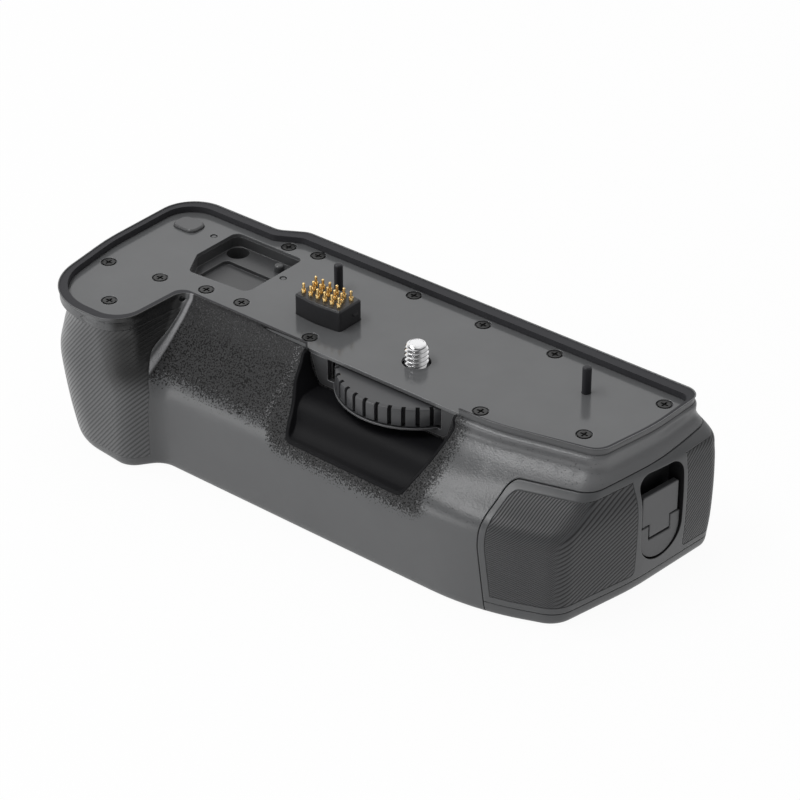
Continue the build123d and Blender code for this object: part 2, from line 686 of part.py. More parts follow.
def latch_space(gap=0.0):
    """The latch recess, round below and square above, with its sides moved in by the gap."""
    radius = LATCH_RADIUS - gap
    upper = [
        (-radius, LATCH_ARC_Z, 0),
        (radius, LATCH_ARC_Z, 0),
        (radius, LATCH_HIGH - gap, LATCH_TOP_RADIUS),
        (-radius, LATCH_HIGH - gap, LATCH_TOP_RADIUS),
    ]
    lower = rod((-LATCH_DEPTH, 0, LATCH_ARC_Z), (1, 0, 0), LATCH_DEPTH + LATCH_REACH, radius)
    return end_prism(upper, -LATCH_DEPTH, LATCH_REACH) + lower


def pad_forms():
    """The spaces of the two pads on the cap, whose outer edges follow its seams."""
    front = [
        (-BODY_DEPTH, PAD_BOTTOM, 0),
        (PAD_FRONT_RIGHT_Y, PAD_BOTTOM, PAD_CORNER_RADIUS),
        (PAD_FRONT_RIGHT_Y, RIM_TOP, 0),
        (-BODY_DEPTH, RIM_TOP, 0),
    ]
    rear = [
        (PAD_REAR_LEFT_Y, PAD_BOTTOM, PAD_CORNER_RADIUS),
        (BODY_DEPTH, PAD_BOTTOM, 0),
        (BODY_DEPTH, RIM_TOP, 0),
        (PAD_REAR_LEFT_Y, RIM_TOP, 0),
    ]
    space = cap_space(PAD_MARGIN) - PAD_CORE
    front_pad = end_prism(front, CAP_SEAM_X, END_REACH_X) & space
    rear_pad = end_prism(rear, PAD_REAR_BACK_X, END_REACH_X) & space
    return front_pad, rear_pad


def skin_form():
    """The space of the rubber skin round the lobe."""
    left = -BODY_LENGTH
    foot = SKIN_FOOT_X_SHARE * BODY_LENGTH
    edge = SKIN_EDGE_X_SHARE * BODY_LENGTH
    top = PLATE_UNDER - SKIN_TOP_GAP
    outline = [
        (left, SKIN_LOW, 0),
        (foot, SKIN_LOW, 0),
        (foot, SKIN_FOOT_HIGH_SHARE * RIM_TOP, SKIN_EDGE_RADIUS),
        (edge, SKIN_EDGE_LOW_SHARE * RIM_TOP, SKIN_EDGE_RADIUS),
        (edge, top, 0),
        (left, top, 0),
    ]
    return side_prism(outline, -BODY_DEPTH, SKIN_BACK_Y_SHARE * BODY_DEPTH) - SKIN_CORE


def bosses(gap=0.0):
    """Bosses below the plate's screws, pins and pips, grown by the gap."""
    posts = []
    for x, y in SCREW_SPOTS:
        posts.append(post(x, y, (0, PLATE_UNDER), SCREW_BOSS_RADIUS + gap))
    for x in PIN_X:
        posts.append(post(x, PIN_Y, (0, PLATE_UNDER), PIN_BOSS_RADIUS + gap))
    for x, y in PIP_SPOTS:
        posts.append(post(x, y, (0, PLATE_UNDER), PIP_BOSS_RADIUS + gap))
    return posts


def board_seats():
    """Places of the posts below the circuit board."""
    reach_x = (BOARD_X[0] + BOARD_POST_RADIUS, BOARD_X[1] - BOARD_POST_RADIUS)
    reach_y = (BOARD_Y[0] + BOARD_POST_RADIUS, BOARD_Y[1] - BOARD_POST_RADIUS)
    return [(x, y) for x in reach_x for y in reach_y]


def plate_hollows():
    """Pockets that open below the plate, with the bosses left standing."""
    board_x = (BOARD_X[0] - BOARD_MARGIN, BOARD_X[1] + BOARD_MARGIN)
    board_y = (BOARD_Y[0] - BOARD_MARGIN, BOARD_Y[1] + BOARD_MARGIN)
    board = block(board_x, board_y, (BOARD_POCKET_FLOOR, PLATE_UNDER))
    for x, y in board_seats():
        board -= post(x, y, (BOARD_POCKET_FLOOR, BOARD_LOW), BOARD_POST_RADIUS)
    end_pocket = block(END_POCKET_X, END_POCKET_Y, (PLATE_UNDER - END_POCKET_DEPTH, PLATE_UNDER))
    lobe_x = (-BODY_LENGTH, BAY_END_X - BAY_WALL)
    lobe = LOBE_CORE & block(lobe_x, (-BODY_DEPTH, BODY_DEPTH), (LOBE_HOLLOW_LOW, PLATE_UNDER))
    return [hollow - bosses() for hollow in (board, end_pocket, lobe)]


def side_hollows():
    """Hollows between the bay and the outer walls."""
    right = CAP_FOOT_X
    front_y = (-BODY_DEPTH, BAY_Y[0] - BAY_WALL)
    back_y = (BAY_Y[1] + BAY_WALL, BODY_DEPTH)
    front_x = (FRONT_HOLLOW_LEFT_SHARE * BODY_LENGTH, right)
    back_x = (BACK_HOLLOW_LEFT_SHARE * BODY_LENGTH, right)
    front = block(front_x, front_y, (UNDERSIDE_WALL, FRONT_HOLLOW_TOP_SHARE * RIM_TOP))
    back = block(back_x, back_y, (UNDERSIDE_WALL, BACK_HOLLOW_TOP_SHARE * RIM_TOP))
    return [WALL_CORE & front, WALL_CORE & back]


def chassis_hollow():
    """Hollow below the chassis plate, with the screw posts and the socket boss left standing."""
    x_range = (BAY_END_X + CHASSIS_LEDGE, CHASSIS_RIGHT_X - CHASSIS_LEDGE)
    y_range = (BAY_Y[0] + CHASSIS_LEDGE, BAY_Y[1] - CHASSIS_LEDGE)
    z_range = (UNDERSIDE_WALL, CHASSIS_UNDER)
    space = block(x_range, y_range, z_range) - post(0, 0, z_range, SOCKET_BOSS_RADIUS)
    for x, y in BASE_SCREW_SPOTS:
        space -= post(x, y, z_range, CHASSIS_POST_RADIUS)
    return space


def main_shell():
    """The housing, with its bay open at the battery end."""
    seat_floor = PLATE_UNDER - POCKET_SEAT_DEPTH
    cuts = [
        prism(inset(placed(RIM_SHARES), GASKET_EDGE), PLATE_UNDER, RIM_TOP + OVERRUN),
        block((BAY_END_X, END_REACH_X), BAY_Y, (CHASSIS_UNDER, BAY_TOP)),
        cap_space(-SEAM_GAP),
        scoop_form(),
        side_prism(panel_outline(), -BODY_DEPTH, PANEL_BACK_Y),
        valley_form(),
        skin_form(),
        post(0, 0, (WHEEL_FLOOR, PLATE_UNDER), WHEEL_POCKET_RADIUS),
        post(0, 0, (BUSH_LOW, WHEEL_FLOOR), BUSH_RADIUS),
        post(0, 0, (CHASSIS_UNDER, BUSH_LOW), CLIP_POCKET_RADIUS),
        prism(inset(placed(POCKET_SHARES), -POCKET_WALL), seat_floor, PLATE_UNDER),
        post(KEEP_HOLE_X, KEEP_HOLE_Y, (KEEP_SEAT, PLATE_UNDER), KEEP_HOLE_RADIUS + KEEP_WALL),
        post(0, 0, (-OVERRUN, CHASSIS_UNDER), SOCKET_BODY_RADIUS),
        post(0, 0, (SOCKET_FLANGE_LOW, CHASSIS_UNDER), SOCKET_FLANGE_RADIUS),
        chassis_hollow(),
    ]
    cuts += plate_hollows()
    cuts += side_hollows()
    for x, y in SCREW_SPOTS:
        cuts.append(post(x, y, (HEAD_SEAT - SCREW_LENGTH, PLATE_UNDER), SCREW_PILOT_RADIUS))
    for x in PIN_X:
        cuts.append(post(x, PIN_Y, (PLATE_UNDER - PIN_ROOT, PLATE_UNDER), PIN_RADIUS))
    for x, y in BASE_SCREW_SPOTS:
        cuts.append(post(x, y, (-OVERRUN, BASE_SCREW_SEAT), BASE_SCREW_HEAD_RADIUS + FIT_GAP))
        cuts.append(post(x, y, (0, CHASSIS_UNDER), BASE_SCREW_RADIUS + FIT_GAP))
    shell = OUTER_FORM - cuts
    for x, y in PIP_SPOTS:
        shell += post(x, y, (PLATE_UNDER, PLATE_TOP - PIP_SINK), PIP_RADIUS)
    return shell


def connector_outline():
    """Plan of the connector block, whose front bows forwards."""
    middle = (BLOCK_LEFT_X + BLOCK_RIGHT_X) / 2
    return [
        (BLOCK_LEFT_X, BLOCK_FRONT_Y, BLOCK_CORNER_RADIUS),
        (middle, BLOCK_FRONT_Y - BLOCK_BOW, BLOCK_BOW_RADIUS),
        (BLOCK_RIGHT_X, BLOCK_FRONT_Y, BLOCK_CORNER_RADIUS),
        (BLOCK_RIGHT_X, BLOCK_BACK_Y, BLOCK_CORNER_RADIUS),
        (BLOCK_LEFT_X, BLOCK_BACK_Y, BLOCK_CORNER_RADIUS),
    ]


def contact_spots():
    """Places of the sprung contacts, in three staggered rows."""
    spots = []
    for along, across, count in CONTACT_ROW_SHARES:
        for i in range(count):
            x = BLOCK_LEFT_X + (along + i) * CONTACT_PITCH
            spots.append((x, BLOCK_FRONT_Y + across * BLOCK_DEPTH))
    return spots


def top_plate():
    """The plate below the camera."""
    z_range = (PLATE_UNDER, PLATE_TOP)
    plate = prism(inset(placed(PLATE_SHARES), FIT_GAP), *z_range)
    cuts = [
        post(0, 0, z_range, STUD_HOLE_RADIUS),
        prism(inset(connector_outline(), -FIT_GAP), *z_range),
        prism(placed(POCKET_SHARES), *z_range),
        prism(inset(bumper_outline(), -FIT_GAP), PLATE_TOP - BUMPER_SINK, PLATE_TOP),
    ]
    for x, y in SCREW_SPOTS:
        cuts.append(post(x, y, z_range, SCREW_HOLE_RADIUS))
        cuts.append(post(x, y, (HEAD_SEAT, PLATE_TOP), SCREW_SINK_RADIUS))
    for x in PIN_X:
        cuts.append(post(x, PIN_Y, z_range, PIN_RADIUS + PIN_HOLE_GAP))
    for x, y in PIP_SPOTS:
        cuts.append(post(x, y, z_range, PIP_HOLE_RADIUS))
    return plate - cuts


def rim_gasket():
    """The rubber band between the plate and the rim, broken at the thumb wheel."""
    band = prism(inset(placed(RIM_SHARES), GASKET_EDGE), PLATE_UNDER, RIM_TOP - GASKET_DROP)
    return band - [prism(placed(PLATE_SHARES), PLATE_UNDER, RIM_TOP), scoop_form()]


def cross_recess(top, depth):
    """Driver recess below a height, as two crossed slots."""
    half_long = CROSS_LENGTH / 2
    half_wide = CROSS_WIDTH / 2
    z_range = (top - depth, top + depth)
    slot = block((-half_long, half_long), (-half_wide, half_wide), z_range)
    return slot + Rot(0, 0, 90) * slot


def plate_screw(x, y):
    """A flat screw that holds the plate."""
    head = post(0, 0, (HEAD_SEAT, PLATE_TOP), SCREW_HEAD_RADIUS)
    shank = post(0, 0, (HEAD_SEAT - SCREW_LENGTH, HEAD_SEAT), SCREW_RADIUS)
    return Pos(x, y, 0) * (head + shank - cross_recess(PLATE_TOP, CROSS_DEPTH))


def locating_pin(x):
    """A steel pin that fits a hole in the camera's base, with a neck where it leaves the plate."""
    pin = post(x, PIN_Y, (PLATE_UNDER - PIN_ROOT, PLATE_TOP + PIN_RISE), PIN_RADIUS)
    pin = chamfer(pin.edges().sort_by(Axis.Z)[-1], PIN_TIP)
    return pin - neck_ring(x, PIN_Y, PLATE_UNDER, PIN_RADIUS, PIN_NECK_DEPTH)


def neck_ring(x, y, low, radius, depth):
    """The ring cut from an upright pin or screw, from a height to just above the plate."""
    ring = post(x, y, (low, NECK_TOP), radius + depth)
    return ring - post(x, y, (low, NECK_TOP), radius - depth)


def bumper_outline():
    """Plan of the bumper."""
    middle_x = BUMPER_X_SHARE * BODY_LENGTH
    middle_y = BUMPER_Y_SHARE * BODY_DEPTH
    left = middle_x - BUMPER_LENGTH / 2
    right = middle_x + BUMPER_LENGTH / 2
    front = middle_y - BUMPER_DEPTH / 2
    back = middle_y + BUMPER_DEPTH / 2
    corners = [(left, front), (right, front), (right, back), (left, back)]
    return [(x, y, BUMPER_CORNER_RADIUS) for x, y in corners]


def plate_bumper():
    """A soft pad that keeps the camera from rattling."""
    pad = prism(bumper_outline(), PLATE_TOP - BUMPER_SINK, PLATE_TOP + BUMPER_HEIGHT)
    return chamfer(pad.faces().sort_by(Axis.Z)[-1].edges(), BUMPER_EDGE)


def storage_insert():
    """The liner of the pocket, with a shelf, a deeper floor and a round well."""
    outline = placed(POCKET_SHARES)
    top = PLATE_UNDER
    shelf = PLATE_TOP - POCKET_SHELF_DEPTH
    floor = PLATE_TOP - POCKET_FLOOR_DEPTH
    well_z = (KEEP_SEAT, top)
    body = prism(inset(outline, -POCKET_WALL), PLATE_UNDER - POCKET_SEAT_DEPTH, top)
    body += post(KEEP_HOLE_X, KEEP_HOLE_Y, (KEEP_SEAT, shelf), KEEP_HOLE_RADIUS + KEEP_WALL)
    deep_x = POCKET_SHELF_X_SHARE * BODY_LENGTH
    deep_y = POCKET_SHELF_Y_SHARE * BODY_DEPTH
    deep = [
        (deep_x, -BODY_DEPTH, 0),
        (0, -BODY_DEPTH, 0),
        (0, deep_y, 0),
        (deep_x, deep_y, POCKET_STEP_RADIUS),
    ]
    body -= prism(outline, shelf, top)
    body -= prism(outline, floor, top) & prism(deep, floor, top)
    body -= post(KEEP_HOLE_X, KEEP_HOLE_Y, (PLATE_TOP - KEEP_HOLE_DEPTH, well_z[1]), KEEP_HOLE_RADIUS)
    return body - peg_post(shelf - PEG_ROOT, shelf)


def peg_post(low, high):
    """The peg's cylinder between two heights."""
    return post(PEG_X_SHARE * BODY_LENGTH, PEG_Y_SHARE * BODY_DEPTH, (low, high), PEG_RADIUS)


def storage_peg():
    """The domed peg on the pocket's shelf."""
    shelf = PLATE_TOP - POCKET_SHELF_DEPTH
    peg = peg_post(shelf - PEG_ROOT, shelf + PEG_RISE)
    return fillet(peg.edges().sort_by(Axis.Z)[-1], PEG_DOME)


def connector_block():
    """The block that carries the sprung contacts, with a flange below the plate."""
    outline = connector_outline()
    body = prism(outline, BLOCK_LOW, BLOCK_TOP)
    body = chamfer(body.faces().sort_by(Axis.Z)[-1].edges(), BLOCK_CHAMFER)
    body += prism(inset(outline, -BLOCK_FLANGE), PLATE_UNDER - BLOCK_FLANGE_THICKNESS, PLATE_UNDER)
    middle = (BLOCK_FRONT_Y + BLOCK_BACK_Y) / 2
    snap_y = (middle - SNAP_WIDTH / 2, middle + SNAP_WIDTH / 2)
    low = PLATE_TOP + SNAP_LOW
    for side, wall in ((-1, BLOCK_LEFT_X), (1, BLOCK_RIGHT_X)):
        wedge = Polygon((0, 0), (0, SNAP_HEIGHT), (side * SNAP_REACH, 0), align=None)
        plane = Plane(origin=(wall, snap_y[1], low), x_dir=(1, 0, 0), z_dir=(0, -1, 0))
        body += extrude(plane * wedge, SNAP_WIDTH)
    barrel_z = (BARREL_LOW, BLOCK_TOP)
    return body - [post(x, y, barrel_z, BARREL_RADIUS) for x, y in contact_spots()]


def contact_barrels():
    """The tubes that guide the plungers."""
    bore = PLUNGER_RADIUS + PLUNGER_GAP
    barrels = []
    for x, y in contact_spots():
        barrel = post(x, y, (BARREL_LOW, BARREL_TOP), BARREL_RADIUS)
        barrels.append(barrel - post(x, y, (BARREL_LOW + BARREL_END, BARREL_TOP), bore))
    return Compound(barrels)


def contact_plungers():
    """The sprung plungers, all pressed down together by the camera."""
    z_range = (BARREL_TOP - PLUNGER_HIDDEN, BLOCK_TOP + PLUNGER_RISE)
    plungers = []
    for x, y in contact_spots():
        plunger = post(x, y, z_range, PLUNGER_RADIUS)
        plungers.append(chamfer(plunger.edges().sort_by(Axis.Z)[-1], PLUNGER_TIP))
    return Compound(plungers)


def circuit_board():
    """The board that the contacts are soldered to."""
    board = block(BOARD_X, BOARD_Y, (BOARD_LOW, BLOCK_LOW))
    return board - bosses(FIT_GAP)


def thumb_wheel():
    """The toothed wheel that turns the camera screw."""
    wheel = post(0, 0, (WHEEL_UNDER, WHEEL_TOP), WHEEL_RADIUS)
    wheel = chamfer(wheel.edges().filter_by(GeomType.CIRCLE), WHEEL_CHAMFER)
    groove_x = (WHEEL_RADIUS - TOOTH_GAP_DEPTH, WHEEL_RADIUS + TOOTH_GAP_DEPTH)
    groove_y = (-TOOTH_GAP_WIDTH / 2, TOOTH_GAP_WIDTH / 2)
    groove = block(groove_x, groove_y, (WHEEL_UNDER, WHEEL_TOP))
    grooves = [Rot(0, 0, i * 360 / WHEEL_TEETH) * groove for i in range(WHEEL_TEETH)]
    return wheel - grooves - post(0, 0, (WHEEL_UNDER, WHEEL_TOP), STUD_RADIUS)


def tripod_screw():
    """The camera screw, with a neck in the plate and the journal that runs in the bush."""
    stud = post(0, 0, (WHEEL_UNDER, STUD_TOP), STUD_RADIUS)
    stud = chamfer(stud.edges().sort_by(Axis.Z)[-1], STUD_TIP)
    stud -= neck_ring(0, 0, WHEEL_TOP, STUD_RADIUS, STUD_NECK_DEPTH)
    return stud + post(0, 0, (CLIP_TOP - CLIP_THICKNESS - CLIP_GAP, WHEEL_UNDER), JOURNAL_RADIUS)


def screw_bush():
    """The bush below the wheel."""
    z_range = (BUSH_LOW, WHEEL_FLOOR)
    return post(0, 0, z_range, BUSH_RADIUS) - post(0, 0, z_range, JOURNAL_RADIUS + JOURNAL_GAP)


def retaining_ring():
    """The ring that keeps the screw in its bush."""
    z_range = (CLIP_TOP - CLIP_THICKNESS, CLIP_TOP)
    return post(0, 0, z_range, CLIP_RADIUS) - post(0, 0, z_range, JOURNAL_RADIUS)


def panel_outline():
    """Outline of the wheel panel in x and z."""
    return [
        (PANEL_LEFT_X + PANEL_LEFT_SLANT, PANEL_LOW, PANEL_LOW_RADIUS),
        (PANEL_RIGHT_X - PANEL_RIGHT_SLANT, PANEL_LOW, PANEL_LOW_RADIUS),
        (PANEL_RIGHT_X, PLATE_UNDER, 0),
        (PANEL_LEFT_X, PLATE_UNDER, 0),
    ]


def wheel_panel():
    """The upright panel round the wheel, with a lip that shields its underside."""
    window = [
        (WINDOW_LEFT_X, WINDOW_LOW, PANEL_HIGH_RADIUS),
        (WINDOW_RIGHT_X, WINDOW_LOW, PANEL_HIGH_RADIUS),
        (WINDOW_RIGHT_X, RIM_TOP, 0),
        (WINDOW_LEFT_X, RIM_TOP, 0),
    ]
    panel = side_prism(panel_outline(), PANEL_FRONT_Y, PANEL_BACK_Y)
    panel -= side_prism(window, -BODY_DEPTH, 0)
    lip_radius = WHEEL_RADIUS + LIP_REACH
    lean = Align.CENTER, Align.CENTER, Align.MIN
    lip = Pos(0, 0, PANEL_LOW) * Cone(lip_radius - LIP_LEAN, lip_radius, LIP_EDGE_Z - PANEL_LOW, align=lean)
    lip += post(0, 0, (LIP_EDGE_Z, WHEEL_FLOOR), lip_radius)
    lip &= block((-BODY_DEPTH, BODY_DEPTH), (-BODY_DEPTH, PANEL_FRONT_Y), (PANEL_LOW, WHEEL_FLOOR))
    return panel + lip - post(0, 0, (WHEEL_FLOOR, PLATE_UNDER), WHEEL_POCKET_RADIUS)


def thumb_scoop():
    """The smooth liner of the thumb scoop, which ends level with the plate."""
    seat = prism(inset(placed(RIM_SHARES), GASKET_EDGE), PLATE_UNDER, RIM_TOP + OVERRUN)
    above = block((SCOOP_LEFT_X, SCOOP_RIGHT_X), (-BODY_DEPTH, 0), (PLATE_TOP, RIM_TOP + OVERRUN))
    return (OUTER_FORM & scoop_form()) - [scoop_form(LINER_THICKNESS), seat, above]


def grip_skin():
    """The rubber skin round the lobe."""
    return (OUTER_FORM & skin_form()) - valley_form()


def chassis_plate():
    """The steel floor of the bay."""
    plate = block((BAY_END_X, CHASSIS_RIGHT_X), BAY_Y, (CHASSIS_UNDER, BAY_FLOOR))
    top = BASE_SCREW_SEAT + BASE_SCREW_LENGTH
    return plate - [post(x, y, (CHASSIS_UNDER, top), BASE_SCREW_RADIUS) for x, y in BASE_SCREW_SPOTS]


def tripod_insert():
    """The metal socket in the underside, flush with it."""
    body = post(0, 0, (0, CHASSIS_UNDER), SOCKET_BODY_RADIUS)
    body += post(0, 0, (SOCKET_FLANGE_LOW, CHASSIS_UNDER), SOCKET_FLANGE_RADIUS)
    return body - post(0, 0, (0, SOCKET_DEPTH), SOCKET_RADIUS)


def base_screw(x, y):
    """A screw that holds the chassis plate from below."""
    head = post(0, 0, (BASE_SCREW_SINK, BASE_SCREW_SEAT), BASE_SCREW_HEAD_RADIUS)
    shank = post(0, 0, (BASE_SCREW_SEAT, BASE_SCREW_SEAT + BASE_SCREW_LENGTH), BASE_SCREW_RADIUS)
    return Pos(x, y, 0) * (head + shank - cross_recess(BASE_SCREW_SINK, CROSS_DEPTH))


def bay_contact_spots():
    """Places of the bay's contacts across its end wall."""
    first = BAY_CENTRE_Y - BAY_CONTACT_PITCH * (BAY_CONTACTS - 1) / 2
    return [first + i * BAY_CONTACT_PITCH for i in range(BAY_CONTACTS)]


def bay_contact_block():
    """The block at the bay's end that carries its contacts."""
    x_range = (BAY_END_X, BAY_END_X + CONTACT_BLOCK_THICKNESS)
    y_range = (BAY_CENTRE_Y - CONTACT_BLOCK_WIDTH / 2, BAY_CENTRE_Y + CONTACT_BLOCK_WIDTH / 2)
    z_range = (CONTACT_BLOCK_LOW, CONTACT_BLOCK_LOW + CONTACT_BLOCK_HEIGHT)
    return block(x_range, y_range, z_range) - bay_contact_rods()


def bay_contact_rods():
    """Round contacts that stand just clear of the tray's blades."""
    z = CONTACT_BLOCK_LOW + CONTACT_BLOCK_HEIGHT / 2
    length = TRAY_END_GAP - TRAY_BLADE_RISE - BAY_CONTACT_GAP
    return [rod((BAY_END_X, y, z), (1, 0, 0), length, BAY_CONTACT_RADIUS) for y in bay_contact_spots()]


def tray_blades():
    """Flat contacts through the tray's end wall and divider."""
    blades_top = CONTACT_BLOCK_LOW + CONTACT_BLOCK_HEIGHT - TRAY_BLADE_INSET
    z_range = (CONTACT_BLOCK_LOW + TRAY_BLADE_INSET, blades_top)
    walls = ((TRAY_LEFT_X, CELL_1_X[0]), (CELL_1_X[1], CELL_2_X[0]))
    blades = []
    for left, right in walls:
        for y in bay_contact_spots():
            y_range = (y - TRAY_BLADE_WIDTH / 2, y + TRAY_BLADE_WIDTH / 2)
            blades.append(block((left - TRAY_BLADE_RISE, right + TRAY_BLADE_RISE), y_range, z_range))
    return blades


def tray_screw_spots():
    """Places of the screws through the tray's floor."""
    return [(TRAY_SCREW_X, BAY_CENTRE_Y + side * TRAY_SCREW_SPREAD / 2) for side in (-1, 1)]


def battery_tray():
    """The tray, with two cells end to end."""
    z_range = (TRAY_LOW, TRAY_LOW + TRAY_SIDE_HEIGHT)
    left, right = TRAY_LEFT_X, CELL_2_X[1]
    outline = [
        (left, TRAY_Y[0], TRAY_CORNER_RADIUS),
        (right, TRAY_Y[0], 0),
        (right, TRAY_Y[1], 0),
        (left, TRAY_Y[1], TRAY_CORNER_RADIUS),
    ]
    tray = prism(outline, *z_range)
    cell_y = (TRAY_Y[0] + TRAY_WALL, TRAY_Y[1] - TRAY_WALL)
    for cell_x in (CELL_1_X, CELL_2_X):
        tray -= block(cell_x, cell_y, (TRAY_LOW + TRAY_FLOOR, TRAY_LOW + TRAY_SIDE_HEIGHT))
    for x, y in tray_screw_spots():
        tray -= post(x, y, (TRAY_LOW, TRAY_LOW + TRAY_FLOOR), TRAY_SCREW_RADIUS + FIT_GAP)
        tray -= post(x, y, (TRAY_SCREW_SEAT, TRAY_LOW + TRAY_FLOOR), TRAY_SCREW_HEAD_RADIUS + FIT_GAP)
    return tray - tray_blades()


def tray_screw(x, y):
    """A flat screw that holds the tray to its cap."""
    top = TRAY_LOW + TRAY_FLOOR
    head = post(0, 0, (TRAY_SCREW_SEAT, top), TRAY_SCREW_HEAD_RADIUS)
    shank = post(0, 0, (TRAY_LOW - TRAY_SCREW_REACH, TRAY_SCREW_SEAT), TRAY_SCREW_RADIUS)
    return Pos(x, y, 0) * (head + shank - cross_recess(top, CROSS_DEPTH))


def tray_cap():
    """The hollow cap that closes the bay."""
    low = SILL_TOP + SILL_GAP
    below = block((0, END_REACH_X), (-BODY_DEPTH, BODY_DEPTH), (-OVERRUN, low))
    hollow = WALL_CORE & block((0, CELL_2_X[1]), (-BODY_DEPTH, BODY_DEPTH), (TRAY_LOW, CAP_CEILING))
    tray_room = block((0, CELL_2_X[1]), TRAY_Y, (TRAY_LOW, TRAY_LOW + TRAY_SIDE_HEIGHT))
    cell_y = (TRAY_Y[0] + TRAY_WALL, TRAY_Y[1] - TRAY_WALL)
    battery = [
        (cell_y[0], TRAY_LOW, 0),
        (cell_y[1], TRAY_LOW, 0),
        (cell_y[1], BAY_TOP, BATTERY_CORNER_RADIUS),
        (cell_y[0], BAY_TOP, BATTERY_CORNER_RADIUS),
    ]
    battery_room = end_prism(battery, 0, CELL_2_X[1])
    cuts = [below, hollow, tray_room, battery_room, latch_placed(latch_space()), *pad_forms()]
    for x, y in tray_screw_spots():
        cuts.append(post(x, y, (TRAY_LOW - TRAY_SCREW_REACH, TRAY_LOW), TRAY_SCREW_RADIUS))
    return (OUTER_FORM & cap_space()) - cuts


def tray_sill():
    """The bottom trim of the cap."""
    below = block((0, END_REACH_X), (-BODY_DEPTH, BODY_DEPTH), (0, SILL_TOP))
    return OUTER_FORM & cap_space() & below


def pin_form():
    """The latch pin in the latch's own axes."""
    start = (-LEVER_THICKNESS / 2, -LATCH_PIN_LENGTH / 2, LEVER_AXIS_Z)
    return rod(start, (0, 1, 0), LATCH_PIN_LENGTH, LATCH_PIN_RADIUS)


def latch_hub():
    """The yoke that carries the lever, filling the round end of the recess."""
    low_half = block((-LATCH_DEPTH, 0), (-LATCH_RADIUS, LATCH_RADIUS), (0, HUB_TOP))
    notch_half = LEVER_TAB_WIDTH / 2 + LATCH_GAP
    notch_low = LEVER_AXIS_Z - LEVER_THICKNESS / 2 - LATCH_GAP
    notch = block((-LATCH_DEPTH, 0), (-notch_half, notch_half), (notch_low, HUB_TOP))
    return latch_placed((latch_space(LATCH_GAP) & low_half) - [notch, pin_form()])


def latch_lever():
    """The folding lever, a plate with a narrower tab that swings on the pin."""
    half = LEVER_WIDTH / 2
    plate = [
        (-half, LEVER_LOW, 0),
        (half, LEVER_LOW, 0),
        (half, LEVER_TOP, LEVER_CORNER_RADIUS),
        (-half, LEVER_TOP, LEVER_CORNER_RADIUS),
    ]
    tab_y = (-LEVER_TAB_WIDTH / 2, LEVER_TAB_WIDTH / 2)
    start = (-LEVER_THICKNESS / 2, tab_y[0], LEVER_AXIS_Z)
    lever = end_prism(plate, -LEVER_THICKNESS, 0)
    lever += block((-LEVER_THICKNESS, 0), tab_y, (LEVER_AXIS_Z, LEVER_LOW))
    lever += rod(start, (0, 1, 0), LEVER_TAB_WIDTH, LEVER_THICKNESS / 2)
    bore = rod(start, (0, 1, 0), LEVER_TAB_WIDTH, LATCH_PIN_RADIUS + LATCH_PIN_GAP)
    return latch_placed(lever - bore)


def latch_pin():
    """The pin that the lever swings on."""
    return latch_placed(pin_form())


OUTER_FORM = hull()
SKIN_CORE = hull(SKIN_DEPTH)
PAD_CORE = hull(PAD_DEPTH)
WALL_CORE = hull(OUTER_WALL)
LOBE_CORE = hull(LOBE_WALL)

pieces = {
    "main_shell": main_shell(),
    "top_plate": top_plate(),
    "rim_gasket": rim_gasket(),
    "locating_pin_left": locating_pin(PIN_X[0]),
    "locating_pin_right": locating_pin(PIN_X[1]),
    "plate_bumper": plate_bumper(),
    "storage_insert": storage_insert(),
    "storage_peg": storage_peg(),
    "connector_block": connector_block(),
    "contact_barrels": contact_barrels(),
    "contact_plungers": contact_plungers(),
    "circuit_board": circuit_board(),
    "thumb_wheel": thumb_wheel(),
    "tripod_screw": tripod_screw(),
    "screw_bush": screw_bush(),
    "retaining_ring": retaining_ring(),
    "wheel_panel": wheel_panel(),
    "thumb_scoop": thumb_scoop(),
    "grip_skin": grip_skin(),
    "chassis_plate": chassis_plate(),
    "tripod_insert": tripod_insert(),
    "bay_contact_block": bay_contact_block(),
    "bay_contacts": Compound(bay_contact_rods()),
    "battery_tray": battery_tray(),
    "tray_blades": Compound(tray_blades()),
    "tray_cap": tray_cap(),
    "tray_sill": tray_sill(),
    "latch_hub": latch_hub(),
    "latch_lever": latch_lever(),
    "latch_pin": latch_pin(),
}
for name, form in zip(("cap_pad_front", "cap_pad_rear"), pad_forms()):
    pieces[name] = OUTER_FORM & form
for i, (x, y) in enumerate(SCREW_SPOTS):
    pieces[f"plate_screw_{i + 1:02d}"] = plate_screw(x, y)
for i, (x, y) in enumerate(BASE_SCREW_SPOTS):
    pieces[f"base_screw_{i + 1}"] = base_screw(x, y)
for i, (x, y) in enumerate(tray_screw_spots()):
    pieces[f"tray_screw_{i + 1}"] = tray_screw(x, y)

os.makedirs("parts", exist_ok=True)
for name, piece in pieces.items():
    export_step(piece, f"parts/{name}.step")
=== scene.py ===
"""A camera battery grip, dressed piece by piece and set up for a studio picture."""

import logging
import math
from dataclasses import dataclass
from enum import Enum
from typing import Any, Callable, Iterable, Optional, Sequence, Union

import bpy
from mathutils import Matrix, Vector
from mathutils.bvhtree import BVHTree


